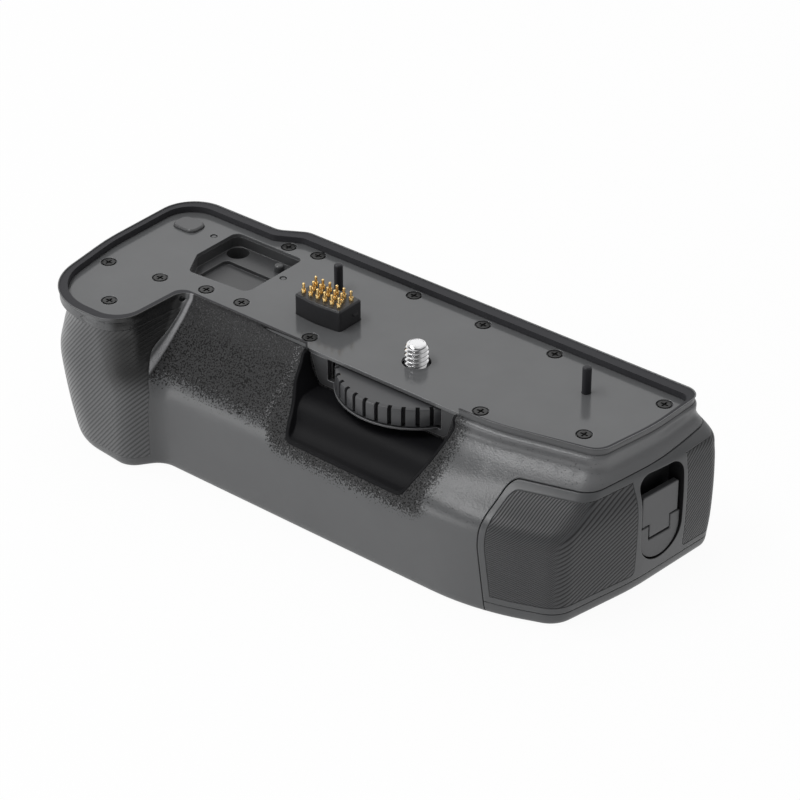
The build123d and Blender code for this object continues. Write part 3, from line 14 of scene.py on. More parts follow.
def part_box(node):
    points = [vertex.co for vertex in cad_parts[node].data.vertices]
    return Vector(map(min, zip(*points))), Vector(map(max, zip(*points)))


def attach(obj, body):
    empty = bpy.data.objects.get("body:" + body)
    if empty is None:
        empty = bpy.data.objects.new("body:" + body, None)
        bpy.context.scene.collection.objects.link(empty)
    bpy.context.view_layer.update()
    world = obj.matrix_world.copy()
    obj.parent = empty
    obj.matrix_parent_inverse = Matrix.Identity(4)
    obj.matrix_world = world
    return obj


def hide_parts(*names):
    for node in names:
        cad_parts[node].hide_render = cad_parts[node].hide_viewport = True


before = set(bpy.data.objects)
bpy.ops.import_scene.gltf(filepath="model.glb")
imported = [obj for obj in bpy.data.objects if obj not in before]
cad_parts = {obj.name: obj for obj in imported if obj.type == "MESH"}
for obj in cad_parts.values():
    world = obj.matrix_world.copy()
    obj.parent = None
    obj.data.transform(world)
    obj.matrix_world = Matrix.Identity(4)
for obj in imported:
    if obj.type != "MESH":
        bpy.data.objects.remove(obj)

LOG = logging.getLogger("battery_grip")
MM = 0.001
WELD = 0.002
THREAD_WELD = 0.001
THREAD_STEPS = 48
BEVEL_SAMPLES = 8
LEVEL = 0.9
SHARP = 30.0
OUTLINE_SHARP = 50.0

Piece = bpy.types.Object
Socket = bpy.types.NodeSocket
Span = tuple[float, float]
Spot = tuple[float, float, float]
Colour = tuple[float, float, float]
Floats = Sequence[float]
Number = Union[float, "Value"]
Test = Callable[[Vector, Vector], bool]


class Body(Enum):
    """The bodies that the pieces ride on."""

    GRIP = "grip"
    WHEEL = "wheel"
    CONTACT = "contact"
    TRAY = "tray"
    LEVER = "lever"


def operator(operation: str, turned: bool = False) -> Callable[["Value", Number], "Value"]:
    """Make a Python operator from a Math node's operation.

    Args:
        operation: The node's operation.
        turned: Whether the wrapped number stands on the right.

    Returns:
        The operator's method.
    """

    def apply(value: "Value", other: Number) -> "Value":
        """Add the node."""
        terms = (other, value) if turned else (value, other)
        return value.recipe.maths(operation, *terms)

    return apply


class Value:
    """A number that changes over a surface and takes part in Python sums."""

    __add__ = operator("ADD")
    __radd__ = operator("ADD", turned=True)
    __sub__ = operator("SUBTRACT")
    __rsub__ = operator("SUBTRACT", turned=True)
    __mul__ = operator("MULTIPLY")
    __rmul__ = operator("MULTIPLY", turned=True)
    __pow__ = operator("POWER")
    most = operator("MAXIMUM")

    def __init__(self, recipe: "Recipe", socket: Socket) -> None:
        """Wrap a socket.

        Args:
            recipe: The node tree that the socket belongs to.
            socket: The output socket that gives the number.
        """
        self.recipe = recipe
        self.socket = socket

    def sine(self) -> "Value":
        """Give the sine of an angle in radians."""
        return self.recipe.maths("SINE", self)

    def absolute(self) -> "Value":
        """Drop the sign."""
        return self.recipe.maths("ABSOLUTE", self)

    def rise(self, low: float, high: float) -> "Value":
        """Go smoothly from 0 at the low limit to 1 at the high one.

        Args:
            low: Where the rise starts.
            high: Where it ends.

        Returns:
            The number from 0 to 1.
        """
        sockets = {"Value": self, "From Min": low, "From Max": high}
        node = self.recipe.add("MapRange", sockets, interpolation_type="SMOOTHSTEP")
        return Value(self.recipe, node.outputs["Result"])

    def fall(self, low: float, high: float) -> "Value":
        """Go smoothly from 1 at the low limit to 0 at the high one."""
        return 1 - self.rise(low, high)


@dataclass(frozen=True)
class Place:
    """A point of the surface in millimetres."""

    vector: Socket
    x: Value
    y: Value
    z: Value


class Recipe:
    """A node tree that is built up from nothing."""

    def __init__(self, owner: Any) -> None:
        """Empty the tree of a material or of the world.

        Args:
            owner: The material or the world.
        """
        owner.use_nodes = True
        self.tree = owner.node_tree
        self.tree.nodes.clear()

    def add(self, kind: str, sockets: dict[Any, Any], **settings: Any) -> bpy.types.Node:
        """Add a node.

        Args:
            kind: The node's type without its first two words.
            sockets: The values or links of its input sockets, by name or number.
            **settings: Its settings.

        Returns:
            The node.
        """
        node = self.tree.nodes.new("ShaderNode" + kind)
        for name, value in settings.items():
            setattr(node, name, value)
        for name, value in sockets.items():
            if isinstance(value, Value):
                value = value.socket
            if isinstance(value, Socket):
                self.tree.links.new(value, node.inputs[name])
            elif isinstance(value, tuple) and node.inputs[name].type == "RGBA":
                node.inputs[name].default_value = (*value, 1.0)
            else:
                node.inputs[name].default_value = value
        return node

    def maths(self, operation: str, *terms: Number) -> Value:
        """Add a Math node.

        Args:
            operation: Its operation.
            *terms: Its numbers.

        Returns:
            The result.
        """
        node = self.add("Math", dict(enumerate(terms)), operation=operation)
        return Value(self, node.outputs[0])

    def place(self) -> Place:
        """Give the surface point in the piece's own millimetres.

        Returns:
            The point with its three parts.
        """
        point = self.add("TexCoord", {}).outputs["Object"]
        scaled = self.add("VectorMath", {0: point, "Scale": 1 / MM}, operation="SCALE")
        return self.split(scaled.outputs[0])

    def normal(self) -> Place:
        """Give the surface's own normal."""
        return self.split(self.add("NewGeometry", {}).outputs["Normal"])

    def split(self, vector: Socket) -> Place:
        """Give a vector with its three parts."""
        parts = self.add("SeparateXYZ", {0: vector}).outputs
        return Place(vector, *(Value(self, part) for part in parts))

    def noise(self, vector: Any, size: float, detail: float = 2.0) -> Value:
        """Give a soft random field.

        Args:
            vector: The point in millimetres.
            size: The width of its blotches in millimetres.
            detail: The number of finer layers.

        Returns:
            The field from 0 to 1.
        """
        sockets = {"Vector": vector, "Scale": 1 / size, "Detail": detail}
        node = self.add("TexNoise", sockets, normalize=True)
        return Value(self, node.outputs[0])

    def cells(self, vector: Any, size: float, stretch: Floats) -> Value:
        """Give the distance field of random cells.

        Args:
            vector: The point in millimetres.
            size: The width of a cell in millimetres.
            stretch: The scale of the field along each axis.

        Returns:
            The distance as a share of the cell.
        """
        drawn = self.add("Mapping", {"Vector": vector, "Scale": stretch}).outputs["Vector"]
        node = self.add("TexVoronoi", {"Vector": drawn, "Scale": 1 / size})
        return Value(self, node.outputs["Distance"])

    def blend(self, factor: Number, low: Any, high: Any) -> Socket:
        """Mix two colours.

        Args:
            factor: 0 for the first and 1 for the second.
            low: The first colour or its socket.
            high: The second colour or its socket.

        Returns:
            The mixed colour's socket.
        """
        node = self.add("Mix", {0: factor, 6: low, 7: high}, data_type="RGBA")
        return node.outputs[2]

    def rounded(self, radius: float) -> Socket:
        """Give the normal that a small radius on every edge would have, in millimetres."""
        return self.add("Bevel", {"Radius": radius * MM}, samples=BEVEL_SAMPLES).outputs[0]

    def bump(self, height: Value, normal: Optional[Socket]) -> Socket:
        """Turn a height in millimetres into a normal.

        Args:
            height: The height.
            normal: The normal below it, if it isn't the surface's own.

        Returns:
            The normal's socket.
        """
        sockets = {"Height": height, "Distance": MM, "Strength": 1.0}
        if normal is not None:
            sockets["Normal"] = normal
        return self.add("Bump", sockets).outputs[0]


@dataclass
class Surface:
    """What changes over a finish: its colour, roughness and height in millimetres."""

    colour: Any
    roughness: Any
    height: Value


@dataclass(frozen=True)
class Finish:
    """A finish with a slight unevenness of colour and gloss, and an optional painted highlight along its
    edges.
    """

    name: str
    slot: str
    colour: Colour
    roughness: float
    metallic: float = 0.0
    specular: float = 0.5
    edge: float = 0.2
    grain: float = 0.35
    depth: float = 0.004
    uneven: float = 0.06
    cloud: float = 14.0
    cloud_detail: float = 3.0
    edge_highlight: float = 0.0
    edge_highlight_turn: Span = (0.01, 0.10)
    edge_highlight_colour: Colour = (0.26, 0.26, 0.27)

    def edge_light(self, recipe: Recipe, colour: Any) -> Any:
        """Paint a highlight along the edges by lightening the colour there.

        Args:
            recipe: The node tree.
            colour: The colour or its socket.

        Returns:
            The lightened colour's socket, or the colour itself.
        """
        if not self.edge_highlight:
            return colour
        true = recipe.add("NewGeometry", {}).outputs["Normal"]
        sockets = {0: recipe.rounded(self.edge), 1: true}
        dot = recipe.add("VectorMath", sockets, operation="DOT_PRODUCT")
        turned = 1 - Value(recipe, dot.outputs["Value"])
        # Painted highlight: lighter where the rounded normal turns from the true one.
        return recipe.blend(turned.rise(*self.edge_highlight_turn) * self.edge_highlight, colour, self.edge_highlight_colour)

    def surface(self, recipe: Recipe, place: Place) -> Surface:
        """Work out what changes over the surface.

        Args:
            recipe: The node tree.
            place: The surface point.

        Returns:
            The colour, roughness and height.
        """
        cloud = recipe.noise(place.vector, self.cloud, self.cloud_detail)
        fine = recipe.noise(place.vector, self.grain)
        dark = tuple(part * (1 - 2 * self.uneven) for part in self.colour)
        light = tuple(part * (1 + 2 * self.uneven) for part in self.colour)
        roughness = self.roughness * (1 - self.uneven) + cloud * (2 * self.uneven * self.roughness)
        return Surface(recipe.blend(cloud, dark, light), roughness, fine * self.depth)

    def shader(self, recipe: Recipe, place: Place) -> Socket:
        """Build the finish's shader.

        Args:
            recipe: The node tree.
            place: The surface point.

        Returns:
            The shader's socket.
        """
        made = self.surface(recipe, place)
        rounded = recipe.rounded(self.edge) if self.edge else None
        sockets = {
            "Base Color": self.edge_light(recipe, made.colour),
            "Roughness": made.roughness,
            "Metallic": self.metallic,
            "Specular IOR Level": self.specular,
            "Normal": recipe.bump(made.height, rounded),
        }
        return recipe.add("BsdfPrincipled", sockets).outputs[0]

    def material(self) -> bpy.types.Material:
        """Build the material, or return the one already built.

        Returns:
            The material.
        """
        built = bpy.data.materials.get(self.name)
        if built:
            return built
        material = bpy.data.materials.new(self.name)
        recipe = Recipe(material)
        shader = self.shader(recipe, recipe.place())
        recipe.add("OutputMaterial", {"Surface": shader})
        return material


@dataclass(frozen=True)
class Leather(Finish):
    """Dark leatherette with black pits and light flecks, finer near the rim, and a painted highlight along
    its raised edge beside the lobe.
    """

    pit: float = 0.44
    pit_detail: float = 1.5
    pit_level: Span = (0.48, 0.60)
    pit_depth: float = 0.06
    # This near-black also paints shade in the shell's fold by the lobe and round the wheel.
    pit_and_shade_colour: Colour = (0.002, 0.002, 0.002)
    fleck: float = 0.40
    fleck_level: Span = (0.58, 0.70)
    fleck_colour: Colour = (0.100, 0.101, 0.103)
    head: Span = (35.5, 38.5)
    foot: Span = (24.5, 28.0)
    ridge_x: float = -65.5
    ridge_width: Span = (0.2, 0.8)
    lip_rise: Span = (-29.4, -27.8)
    lip_fall: Span = (-27.2, -26.4)
    edge_light_colour: Colour = (0.34, 0.34, 0.35)

    def surface(self, recipe: Recipe, place: Place) -> Surface:
        """Work out what changes over the surface.

        Args:
            recipe: The node tree.
            place: The surface point.

        Returns:
            The colour, roughness and height.
        """
        plain = super().surface(recipe, place)
        head = place.z.rise(*self.head)
        pits = recipe.noise(place.vector, self.pit, self.pit_detail).rise(*self.pit_level)
        flecks = recipe.noise(place.vector, self.fleck, 1.0).rise(*self.fleck_level)
        colour = recipe.blend(pits * (1 - 0.6 * head), plain.colour, self.pit_and_shade_colour)
        colour = recipe.blend(flecks * (0.30 + 0.35 * head), colour, self.fleck_colour)
        # Painted highlight along the raised edge beside the lobe, and light flecks along the scoop's lip,
        # both in one lighter colour.
        ridge_highlight = (place.x - self.ridge_x).absolute().fall(*self.ridge_width) * 0.95
        lip = place.x.rise(*self.lip_rise) * place.x.fall(*self.lip_fall)
        edge_light = (ridge_highlight + lip * flecks * 0.5) * place.z.rise(*self.foot)
        colour = recipe.blend(edge_light, colour, self.edge_light_colour)
        return Surface(colour, plain.roughness, plain.height - pits * self.pit_depth)


@dataclass(frozen=True)
class GrainedShell(Finish):
    """The housing: moulded plastic, sandy on its slopes, with leatherette round the thumb scoop, painted
    shade between the lobe and the leatherette and round the wheel, and a painted sheen on the rim wall
    right of the scoop.
    """

    leather: Leather = Leather("leather", "housing", (0.036, 0.036, 0.037), 0.55, specular=0.22, edge=0.35)
    left_end: Span = (-66.5, -65.9)
    right_end: Span = (25.5, 28.5)
    leather_foot: Span = (24.6, 26.2)
    front: Span = (-9.0, -4.0)
    ragged: float = 0.45
    ragged_height: float = 12.0
    lip: Span = (-27.0, -22.0)
    lip_rise: float = 4.5
    slope: Span = (21.0, 26.0)
    sand: float = 0.5
    sand_depth: float = 0.06
    dot: float = 0.6
    dot_level: Span = (0.68, 0.72)
    well_radius: float = 22.0
    well_roof: Span = (28.0, 28.5)
    well_front: Span = (-17.0, -15.5)
    rim_sheen_start: Span = (27.0, 31.0)
    rim_sheen_foot: Span = (32.0, 36.0)
    rim_sheen_colour: Colour = (0.150, 0.152, 0.156)
    valley_start: Span = (-74.0, -71.5)
    valley_end: Span = (-67.3, -66.7)
    valley_front: Span = (-12.0, -8.0)
    valley_foot: Span = (21.0, 28.0)

    def zone(self, recipe: Recipe, place: Place) -> Value:
        """Mark the leatherette.

        Args:
            recipe: The node tree.
            place: The surface point.

        Returns:
            1 where the leatherette is full and 0 where the plastic is bare.
        """
        noise = recipe.noise(place.vector, self.ragged)
        wander = noise * self.ragged_height - self.ragged_height / 2
        lip = place.x.rise(*self.lip) * self.lip_rise
        foot = (place.z + wander + lip).rise(*self.leather_foot)
        left = place.x.rise(*self.left_end)
        right = (place.x + wander).fall(*self.right_end)
        return foot * left * right * place.y.fall(*self.front)

    def surface(self, recipe: Recipe, place: Place) -> Surface:
        """Work out what changes over the surface.

        Args:
            recipe: The node tree.
            place: The surface point.

        Returns:
            The colour, roughness and height.
        """
        plain = super().surface(recipe, place)
        slope = place.z.rise(*self.slope) * place.y.fall(*self.front)
        sand = recipe.noise(place.vector, self.sand, 1.0)
        dots = recipe.noise(place.vector, self.dot, 1.0).rise(*self.dot_level) * slope
        reach = place.x * place.x + place.y * place.y
        # Painted shade: the hollow round the wheel is darkened to near-black.
        well_shade = reach.fall(self.well_radius**2 - 4, self.well_radius**2)
        well_shade = well_shade * place.z.rise(*self.well_roof) * place.y.rise(*self.well_front)
        # Painted sheen: the rim wall right of the scoop is lightened.
        pale = place.x.rise(*self.rim_sheen_start) * place.z.rise(*self.rim_sheen_foot)
        # Painted shade: the fold between the lobe and the leatherette is darkened.
        valley_shade = place.x.rise(*self.valley_start) * place.x.fall(*self.valley_end)
        valley_shade = valley_shade * place.y.fall(*self.valley_front) * place.z.rise(*self.valley_foot)
        colour = recipe.blend(pale * 0.7, plain.colour, self.rim_sheen_colour)
        colour = recipe.blend(valley_shade * 0.9, colour, self.leather.pit_and_shade_colour)
        colour = recipe.blend(dots * 0.7, colour, self.leather.colour)
        colour = recipe.blend(well_shade, colour, self.leather.pit_and_shade_colour)
        return Surface(colour, plain.roughness, plain.height + slope * sand * self.sand_depth)

    def shader(self, recipe: Recipe, place: Place) -> Socket:
        """Build the plastic's shader with the leatherette's over it.

        Args:
            recipe: The node tree.
            place: The surface point.

        Returns:
            The shader's socket.
        """
        bare = super().shader(recipe, place)
        covered = self.leather.shader(recipe, place)
        mixed = recipe.add("MixShader", {0: self.zone(recipe, place), 1: bare, 2: covered})
        return mixed.outputs[0]


@dataclass(frozen=True)
class GroovedRubber(Finish):
    """Rubber with fine slanted grooves, which may change their slant round a corner, with painted shade in
    the grooves, a painted highlight on the crests between them and an optional patch of painted shade.
    """

    pitch: float = 0.6
    groove_depth: float = 0.10
    across: Spot = (-0.62, -0.5, 1.0)
    end_pitch: float = 0.0
    end_across: Spot = (0.0, -0.51, 1.0)
    groove_shade_colour: Colour = (0.008, 0.008, 0.009)
    groove_share: float = 0.35
    wander: float = 12.0
    end_turn: Span = (0.55, 0.85)
    ridge_highlight: float = 0.0
    ridge_highlight_colour: Colour = (0.30, 0.30, 0.31)
    fade: Span = (-900.0, -886.0)
    shade: Span = (900.0, 901.0)
    shade_foot: Span = (21.0, 29.0)
    shade_colour: Colour = (0.006, 0.006, 0.006)

    def groove(self, recipe: Recipe, place: Place, across: Floats, pitch: float) -> Value:
        """Give the swell of one set of grooves.

        Args:
            recipe: The node tree.
            place: The surface point.
            across: The way across the grooves.
            pitch: Their pitch along it in millimetres.

        Returns:
            0 in the middle of a groove and 1 between two.
        """
        wave = place.x * across[0] + place.y * across[1] + place.z * across[2]
        wander = recipe.noise(place.vector, self.wander, 1.0) * (0.25 * pitch)
        return ((wave + wander) * (math.tau / pitch)).sine() * 0.5 + 0.5

    def surface(self, recipe: Recipe, place: Place) -> Surface:
        """Work out what changes over the surface.

        Args:
            recipe: The node tree.
            place: The surface point.

        Returns:
            The colour, roughness and height.
        """
        plain = super().surface(recipe, place)
        swell = self.groove(recipe, place, self.across, self.pitch)
        if self.end_pitch:
            end = recipe.normal().x.rise(*self.end_turn)
            swell = swell * (1 - end) + self.groove(recipe, place, self.end_across, self.end_pitch) * end
        seen = place.x.rise(*self.fade)
        groove = swell.fall(0.0, self.groove_share * 2) * seen
        shade = place.x.rise(*self.shade) * place.z.rise(*self.shade_foot)
        # Painted shade in the grooves; below, a painted highlight on the crests between them and a patch of
        # painted shade.
        colour = recipe.blend(groove, plain.colour, self.groove_shade_colour)
        if self.ridge_highlight:
            colour = recipe.blend(swell.rise(0.8, 1.0) * seen * self.ridge_highlight, colour, self.ridge_highlight_colour)
        colour = recipe.blend(shade * 0.9, colour, self.shade_colour)
        height = plain.height - groove * self.groove_depth
        return Surface(colour, plain.roughness + groove * 0.2, height)


@dataclass(frozen=True)
class TurnedMetal(Finish):
    """Metal with the faint rings of a lathe round an upright axis."""

    ring: float = 0.12
    ring_depth: float = 0.0015

    def surface(self, recipe: Recipe, place: Place) -> Surface:
        """Work out what changes over the surface.

        Args:
            recipe: The node tree.
            place: The surface point.

        Returns:
            The colour, roughness and height.
        """
        plain = super().surface(recipe, place)
        reach = (place.x * place.x + place.y * place.y) ** 0.5
        rings = (reach * (math.tau / self.ring)).sine() * 0.5
        return Surface(plain.colour, plain.roughness, plain.height + rings * self.ring_depth)


@dataclass(frozen=True)
class BoardLacquer(Finish):
    """Green lacquer over faint copper tracks."""

    track: float = 1.6
    track_stretch: Spot = (0.4, 1.4, 1.0)
    track_edge: Span = (0.5, 0.56)
    track_height: float = 0.03
    track_colour: Colour = (0.09, 0.22, 0.08)

    def surface(self, recipe: Recipe, place: Place) -> Surface:
        """Work out what changes over the surface.

        Args:
            recipe: The node tree.
            place: The surface point.

        Returns:
            The colour, roughness and height.
        """
        plain = super().surface(recipe, place)
        lines = recipe.cells(place.vector, self.track, self.track_stretch).rise(*self.track_edge)
        colour = recipe.blend(lines * 0.5, plain.colour, self.track_colour)
        return Surface(colour, plain.roughness, plain.height + lines * self.track_height)


SHELL = GrainedShell("shell_plastic", "housing", (0.092, 0.094, 0.097), 0.35, specular=0.5, edge=0.35)
RIM = Finish("rim_plastic", "housing", (0.092, 0.094, 0.097), 0.35, edge=0.35)
# PLATE, GASKET, POCKET and PANEL lighten their edges as a painted highlight.
PLATE = Finish(
    "plate_satin", "plate_black", (0.105, 0.107, 0.110), 0.15, edge=0.25, grain=0.3, depth=0.0015, edge_highlight=0.6,
)
GASKET = Finish(
    "gasket_rubber", "gasket_rubber", (0.012, 0.012, 0.013), 0.7, specular=0.10, edge=0.25, edge_highlight=0.35,
)
LINER = Finish("liner_smooth", "liner_black", (0.006, 0.006, 0.007), 0.5, specular=0.10, edge=0.6)
POCKET = Finish("pocket_plastic", "liner_black", (0.060, 0.061, 0.063), 0.32, edge=0.3, edge_highlight=0.3)
CAP = Finish("cap_plastic", "cap_black", (0.078, 0.080, 0.083), 0.36, edge=0.45)
# HOLLOW_SHADE paints shade deep in the cap's latch recess.
HOLLOW_SHADE = Finish("cap_hollow_shade", "cap_black", (0.016, 0.016, 0.017), 0.45, specular=0.25, edge=0.3)
SEAM = Finish("seam_shadow", "cap_black", (0.003, 0.003, 0.003), 0.6, specular=0.1, edge=0.0)
LATCH = Finish("latch_plastic", "latch_black", (0.074, 0.075, 0.078), 0.38, edge=0.22)
BLOCK = Finish("connector_plastic", "connector_black", (0.020, 0.020, 0.022), 0.36, edge=0.35)
WHEEL = Finish("wheel_plastic", "wheel_black", (0.054, 0.055, 0.058), 0.36, edge=0.12)
# GAP_SHADE paints shade on the faces between the wheel's ribs.
GAP_SHADE = Finish("wheel_gap_shade", "wheel_black", (0.008, 0.008, 0.009), 0.6, specular=0.2, edge=0.0)
PANEL = Finish("panel_plastic", "plate_black", (0.048, 0.049, 0.051), 0.38, edge=0.3, edge_highlight=0.6)
# LOBE, PAD and PAD_REAR paint shade in their grooves; LOBE also paints a highlight on the crests between
# them and shade towards the fold by the leatherette.
LOBE = GroovedRubber(
    "lobe_rubber", "leatherette", (0.070, 0.072, 0.075), 0.30, specular=0.6, edge=0.3,
    pitch=1.45, groove_depth=0.035, across=(-1.16, 0.0, 1.0), groove_share=0.12, ridge_highlight=0.20,
    groove_shade_colour=(0.022, 0.022, 0.023), fade=(-101.0, -87.0), shade=(-78.0, -69.5),
)
PAD = GroovedRubber(
    "pad_rubber", "leatherette", (0.050, 0.051, 0.054), 0.42, edge=0.4, groove_depth=0.07, end_pitch=1.25,
)
PAD_REAR = GroovedRubber(
    "pad_rubber_rear", "leatherette", (0.050, 0.051, 0.054), 0.42, edge=0.4, groove_depth=0.07,
    pitch=1.25, across=(-0.62, -0.85, 1.0),
)
BUMPER = Finish("bumper_rubber", "gasket_rubber", (0.092, 0.093, 0.096), 0.40, edge=0.4)
PIN = TurnedMetal("pin_black", "pin_black", (0.010, 0.010, 0.011), 0.15, specular=0.5, edge=0.1)
SCREW = Finish("screw_black", "screw_black", (0.105, 0.106, 0.109), 0.28, specular=0.8, edge=0.08)
# RECESS_SHADE paints shade in the screws' crosses and round their rims.
RECESS_SHADE = Finish("screw_recess_shade", "screw_black", (0.004, 0.004, 0.004), 0.6, specular=0.2, edge=0.0)
STUD = TurnedMetal("stud_bright", "screw_steel", (0.90, 0.90, 0.91), 0.14, metallic=1.0, edge=0.0)
STEEL = Finish("steel_satin", "steel", (0.58, 0.58, 0.60), 0.34, metallic=1.0, edge=0.12)
SHEET = Finish("sheet_steel", "steel", (0.50, 0.51, 0.53), 0.38, metallic=1.0, edge=0.1)
BUSH = Finish("bush_brass", "bush_brass", (0.70, 0.53, 0.26), 0.30, metallic=1.0, edge=0.1)
GOLD = TurnedMetal("contact_gold", "gold_contact", (0.83, 0.60, 0.27), 0.24, metallic=1.0, edge=0.05)
BOARD = BoardLacquer("board_lacquer", "board_green", (0.028, 0.10, 0.045), 0.35, edge=0.1)
TRAY = Finish("tray_plastic", "tray_grey", (0.060, 0.061, 0.063), 0.5, edge=0.2)


def clear() -> None:
    """Select nothing."""
    bpy.ops.object.select_all(action="DESELECT")
    bpy.context.view_layer.objects.active = None


def pick(piece: Piece) -> None:
    """Select one piece alone.

    Args:
        piece: The piece.
    """
    clear()
    piece.select_set(True)
    bpy.context.view_layer.objects.active = piece


def named(name: str) -> Piece:
    """Name the piece that was just added, and move its place into its mesh, where it is kept.

    Args:
        name: The piece's name.

    Returns:
        The piece.
    """
    piece = bpy.context.object
    piece.name = name
    settle(piece)
    return piece


def rod(name: str, radius: float, ends: Span, sides: int, spot: Floats = (0, 0)) -> Piece:
    """Add an upright cylinder.

    Args:
        name: The piece's name.
        radius: Its radius in millimetres.
        ends: The heights of its two ends.
        sides: The number of its sides.
        spot: The place of its axis.

    Returns:
        The piece.
    """
    clear()
    low, high = ends
    bpy.ops.mesh.primitive_cylinder_add(
        vertices=sides,
        radius=radius * MM,
        depth=(high - low) * MM,
        location=(spot[0] * MM, spot[1] * MM, (low + high) / 2 * MM),
    )
    return named(name)


def round_top(piece: Piece, width: float, segments: int) -> None:
    """Round the top edge of an upright cylinder by a width in millimetres.

    Args:
        piece: The cylinder.
        width: The width of the round.
        segments: The number of faces across it.
    """
    choose(piece, lambda centre, normal: normal.z > LEVEL)
    bpy.ops.mesh.bevel(offset=width * MM, segments=segments)
    done()


def draw_down(piece: Piece, way: float, wall: float, depth: float) -> None:
    """Move the middle of a cylinder's end down and leave a ring round it.

    Args:
        piece: The cylinder, which is upright.
        way: 1 for its upper end and -1 for its lower one.
        wall: The ring's width in millimetres.
        depth: How far the middle goes down.
    """
    choose(piece, lambda centre, normal: normal.z * way > LEVEL)
    bpy.ops.mesh.inset(thickness=wall * MM)
    bpy.ops.mesh.extrude_region_move(TRANSFORM_OT_translate={"value": (0, 0, -depth * MM)})
    done()


def bar(name: str, low: Floats, high: Floats) -> Piece:
    """Add a box between two corners in millimetres.

    Args:
        name: The piece's name.
        low: Its lowest corner.
        high: Its highest corner.

    Returns:
        The piece.
    """
    clear()
    middle = [(a + b) / 2 * MM for a, b in zip(low, high)]
    bpy.ops.mesh.primitive_cube_add(size=1.0, location=middle)
    bpy.context.object.scale = [(b - a) * MM for a, b in zip(low, high)]
    return named(name)


def settle(piece: Piece) -> None:
    """Move a piece's place, turn and scale into its mesh."""
    pick(piece)
    bpy.ops.object.transform_apply(location=True, rotation=True, scale=True)


def choose(piece: Piece, test: Test, edges: bool = False) -> None:
    """Open a piece in edit mode with the faces or edges that pass a test selected.

    Args:
        piece: The piece.
        test: Takes a face's centre in millimetres and its normal, or an edge's two ends.
        edges: Whether edges are chosen.
    """
    edit(piece, "EDGE" if edges else "FACE", "DESELECT")
    done()
    points = piece.data.vertices
    for part in piece.data.edges if edges else piece.data.polygons:
        if edges:
            part.select = test(*(points[i].co / MM for i in part.vertices))
        else:
            part.select = test(part.center / MM, part.normal)
    bpy.ops.object.mode_set(mode="EDIT")


def edit(piece: Piece, kind: str = "VERT", action: str = "SELECT") -> None:
    """Open a piece in edit mode, with all or none of one kind of part selected.

    Args:
        piece: The piece.
        kind: The kind of part that is selected.
        action: SELECT for all of them and DESELECT for none.
    """
    pick(piece)
    bpy.ops.object.mode_set(mode="EDIT")
    bpy.ops.mesh.select_mode(type=kind)
    bpy.ops.mesh.select_all(action=action)


def done() -> None:
    """Leave edit mode."""
    bpy.ops.object.mode_set(mode="OBJECT")


def modify(piece: Piece, kind: str, **settings: Any) -> None:
    """Add a modifier and apply it.

    Args:
        piece: The piece.
        kind: The modifier's type.
        **settings: Its settings.
    """
    pick(piece)
    modifier = piece.modifiers.new(kind.lower(), kind)
    for name, value in settings.items():
        setattr(modifier, name, value)
    bpy.ops.object.modifier_apply(modifier=modifier.name)


def cut(piece: Piece, tool: Piece) -> None:
    """Cut a piece with a tool and throw the tool away."""
    modify(piece, "BOOLEAN", object=tool, operation="DIFFERENCE", solver="EXACT")
    bpy.data.objects.remove(tool)


def soften(piece: Piece, width: float) -> None:
    """Round the sharp edges of a piece by a width in millimetres.

    Args:
        piece: The piece.
        width: The width of the round.
    """
    modify(
        piece, "BEVEL", width=width * MM, segments=2,
        limit_method="ANGLE", angle_limit=math.radians(SHARP), use_clamp_overlap=True,
    )


def smooth(piece: Piece, angle: float = SHARP) -> None:
    """Shade a piece smooth except over sharp edges."""
    pick(piece)
    bpy.ops.object.shade_smooth_by_angle(angle=math.radians(angle))


def copy(piece: Piece, name: str, move: Floats) -> Piece:
    """Copy a piece with its own mesh.

    Args:
        piece: The piece to copy.
        name: The copy's name.
        move: The way from the piece to the copy in millimetres.

    Returns:
        The copy.
    """
    twin = piece.copy()
    twin.data = piece.data.copy()
    twin.name = name
    bpy.context.scene.collection.objects.link(twin)
    twin.location = [part * MM for part in move]
    settle(twin)
    return twin


def join(pieces: Sequence[Piece], name: str) -> Piece:
    """Join pieces into one object.

    Args:
        pieces: The pieces.
        name: The object's name.

    Returns:
        The object.
    """
    pick(pieces[0])
    for piece in pieces[1:]:
        piece.select_set(True)
    bpy.ops.object.join()
    pieces[0].name = name
    return pieces[0]


def from_node(node: str, name: str) -> Piece:
    """Copy a node's mesh and weld its loose faces together.

    Args:
        node: The node's name.
        name: The copy's name.

    Returns:
        The copy.
    """
    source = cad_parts[node]
    piece = bpy.data.objects.new(name, source.data.copy())
    bpy.context.scene.collection.objects.link(piece)
    edit(piece)
    bpy.ops.mesh.remove_doubles(threshold=WELD * MM)
    done()
    if piece.data.has_custom_normals:
        bpy.ops.mesh.customdata_custom_splitnormals_clear()
    smooth(piece)
    return piece


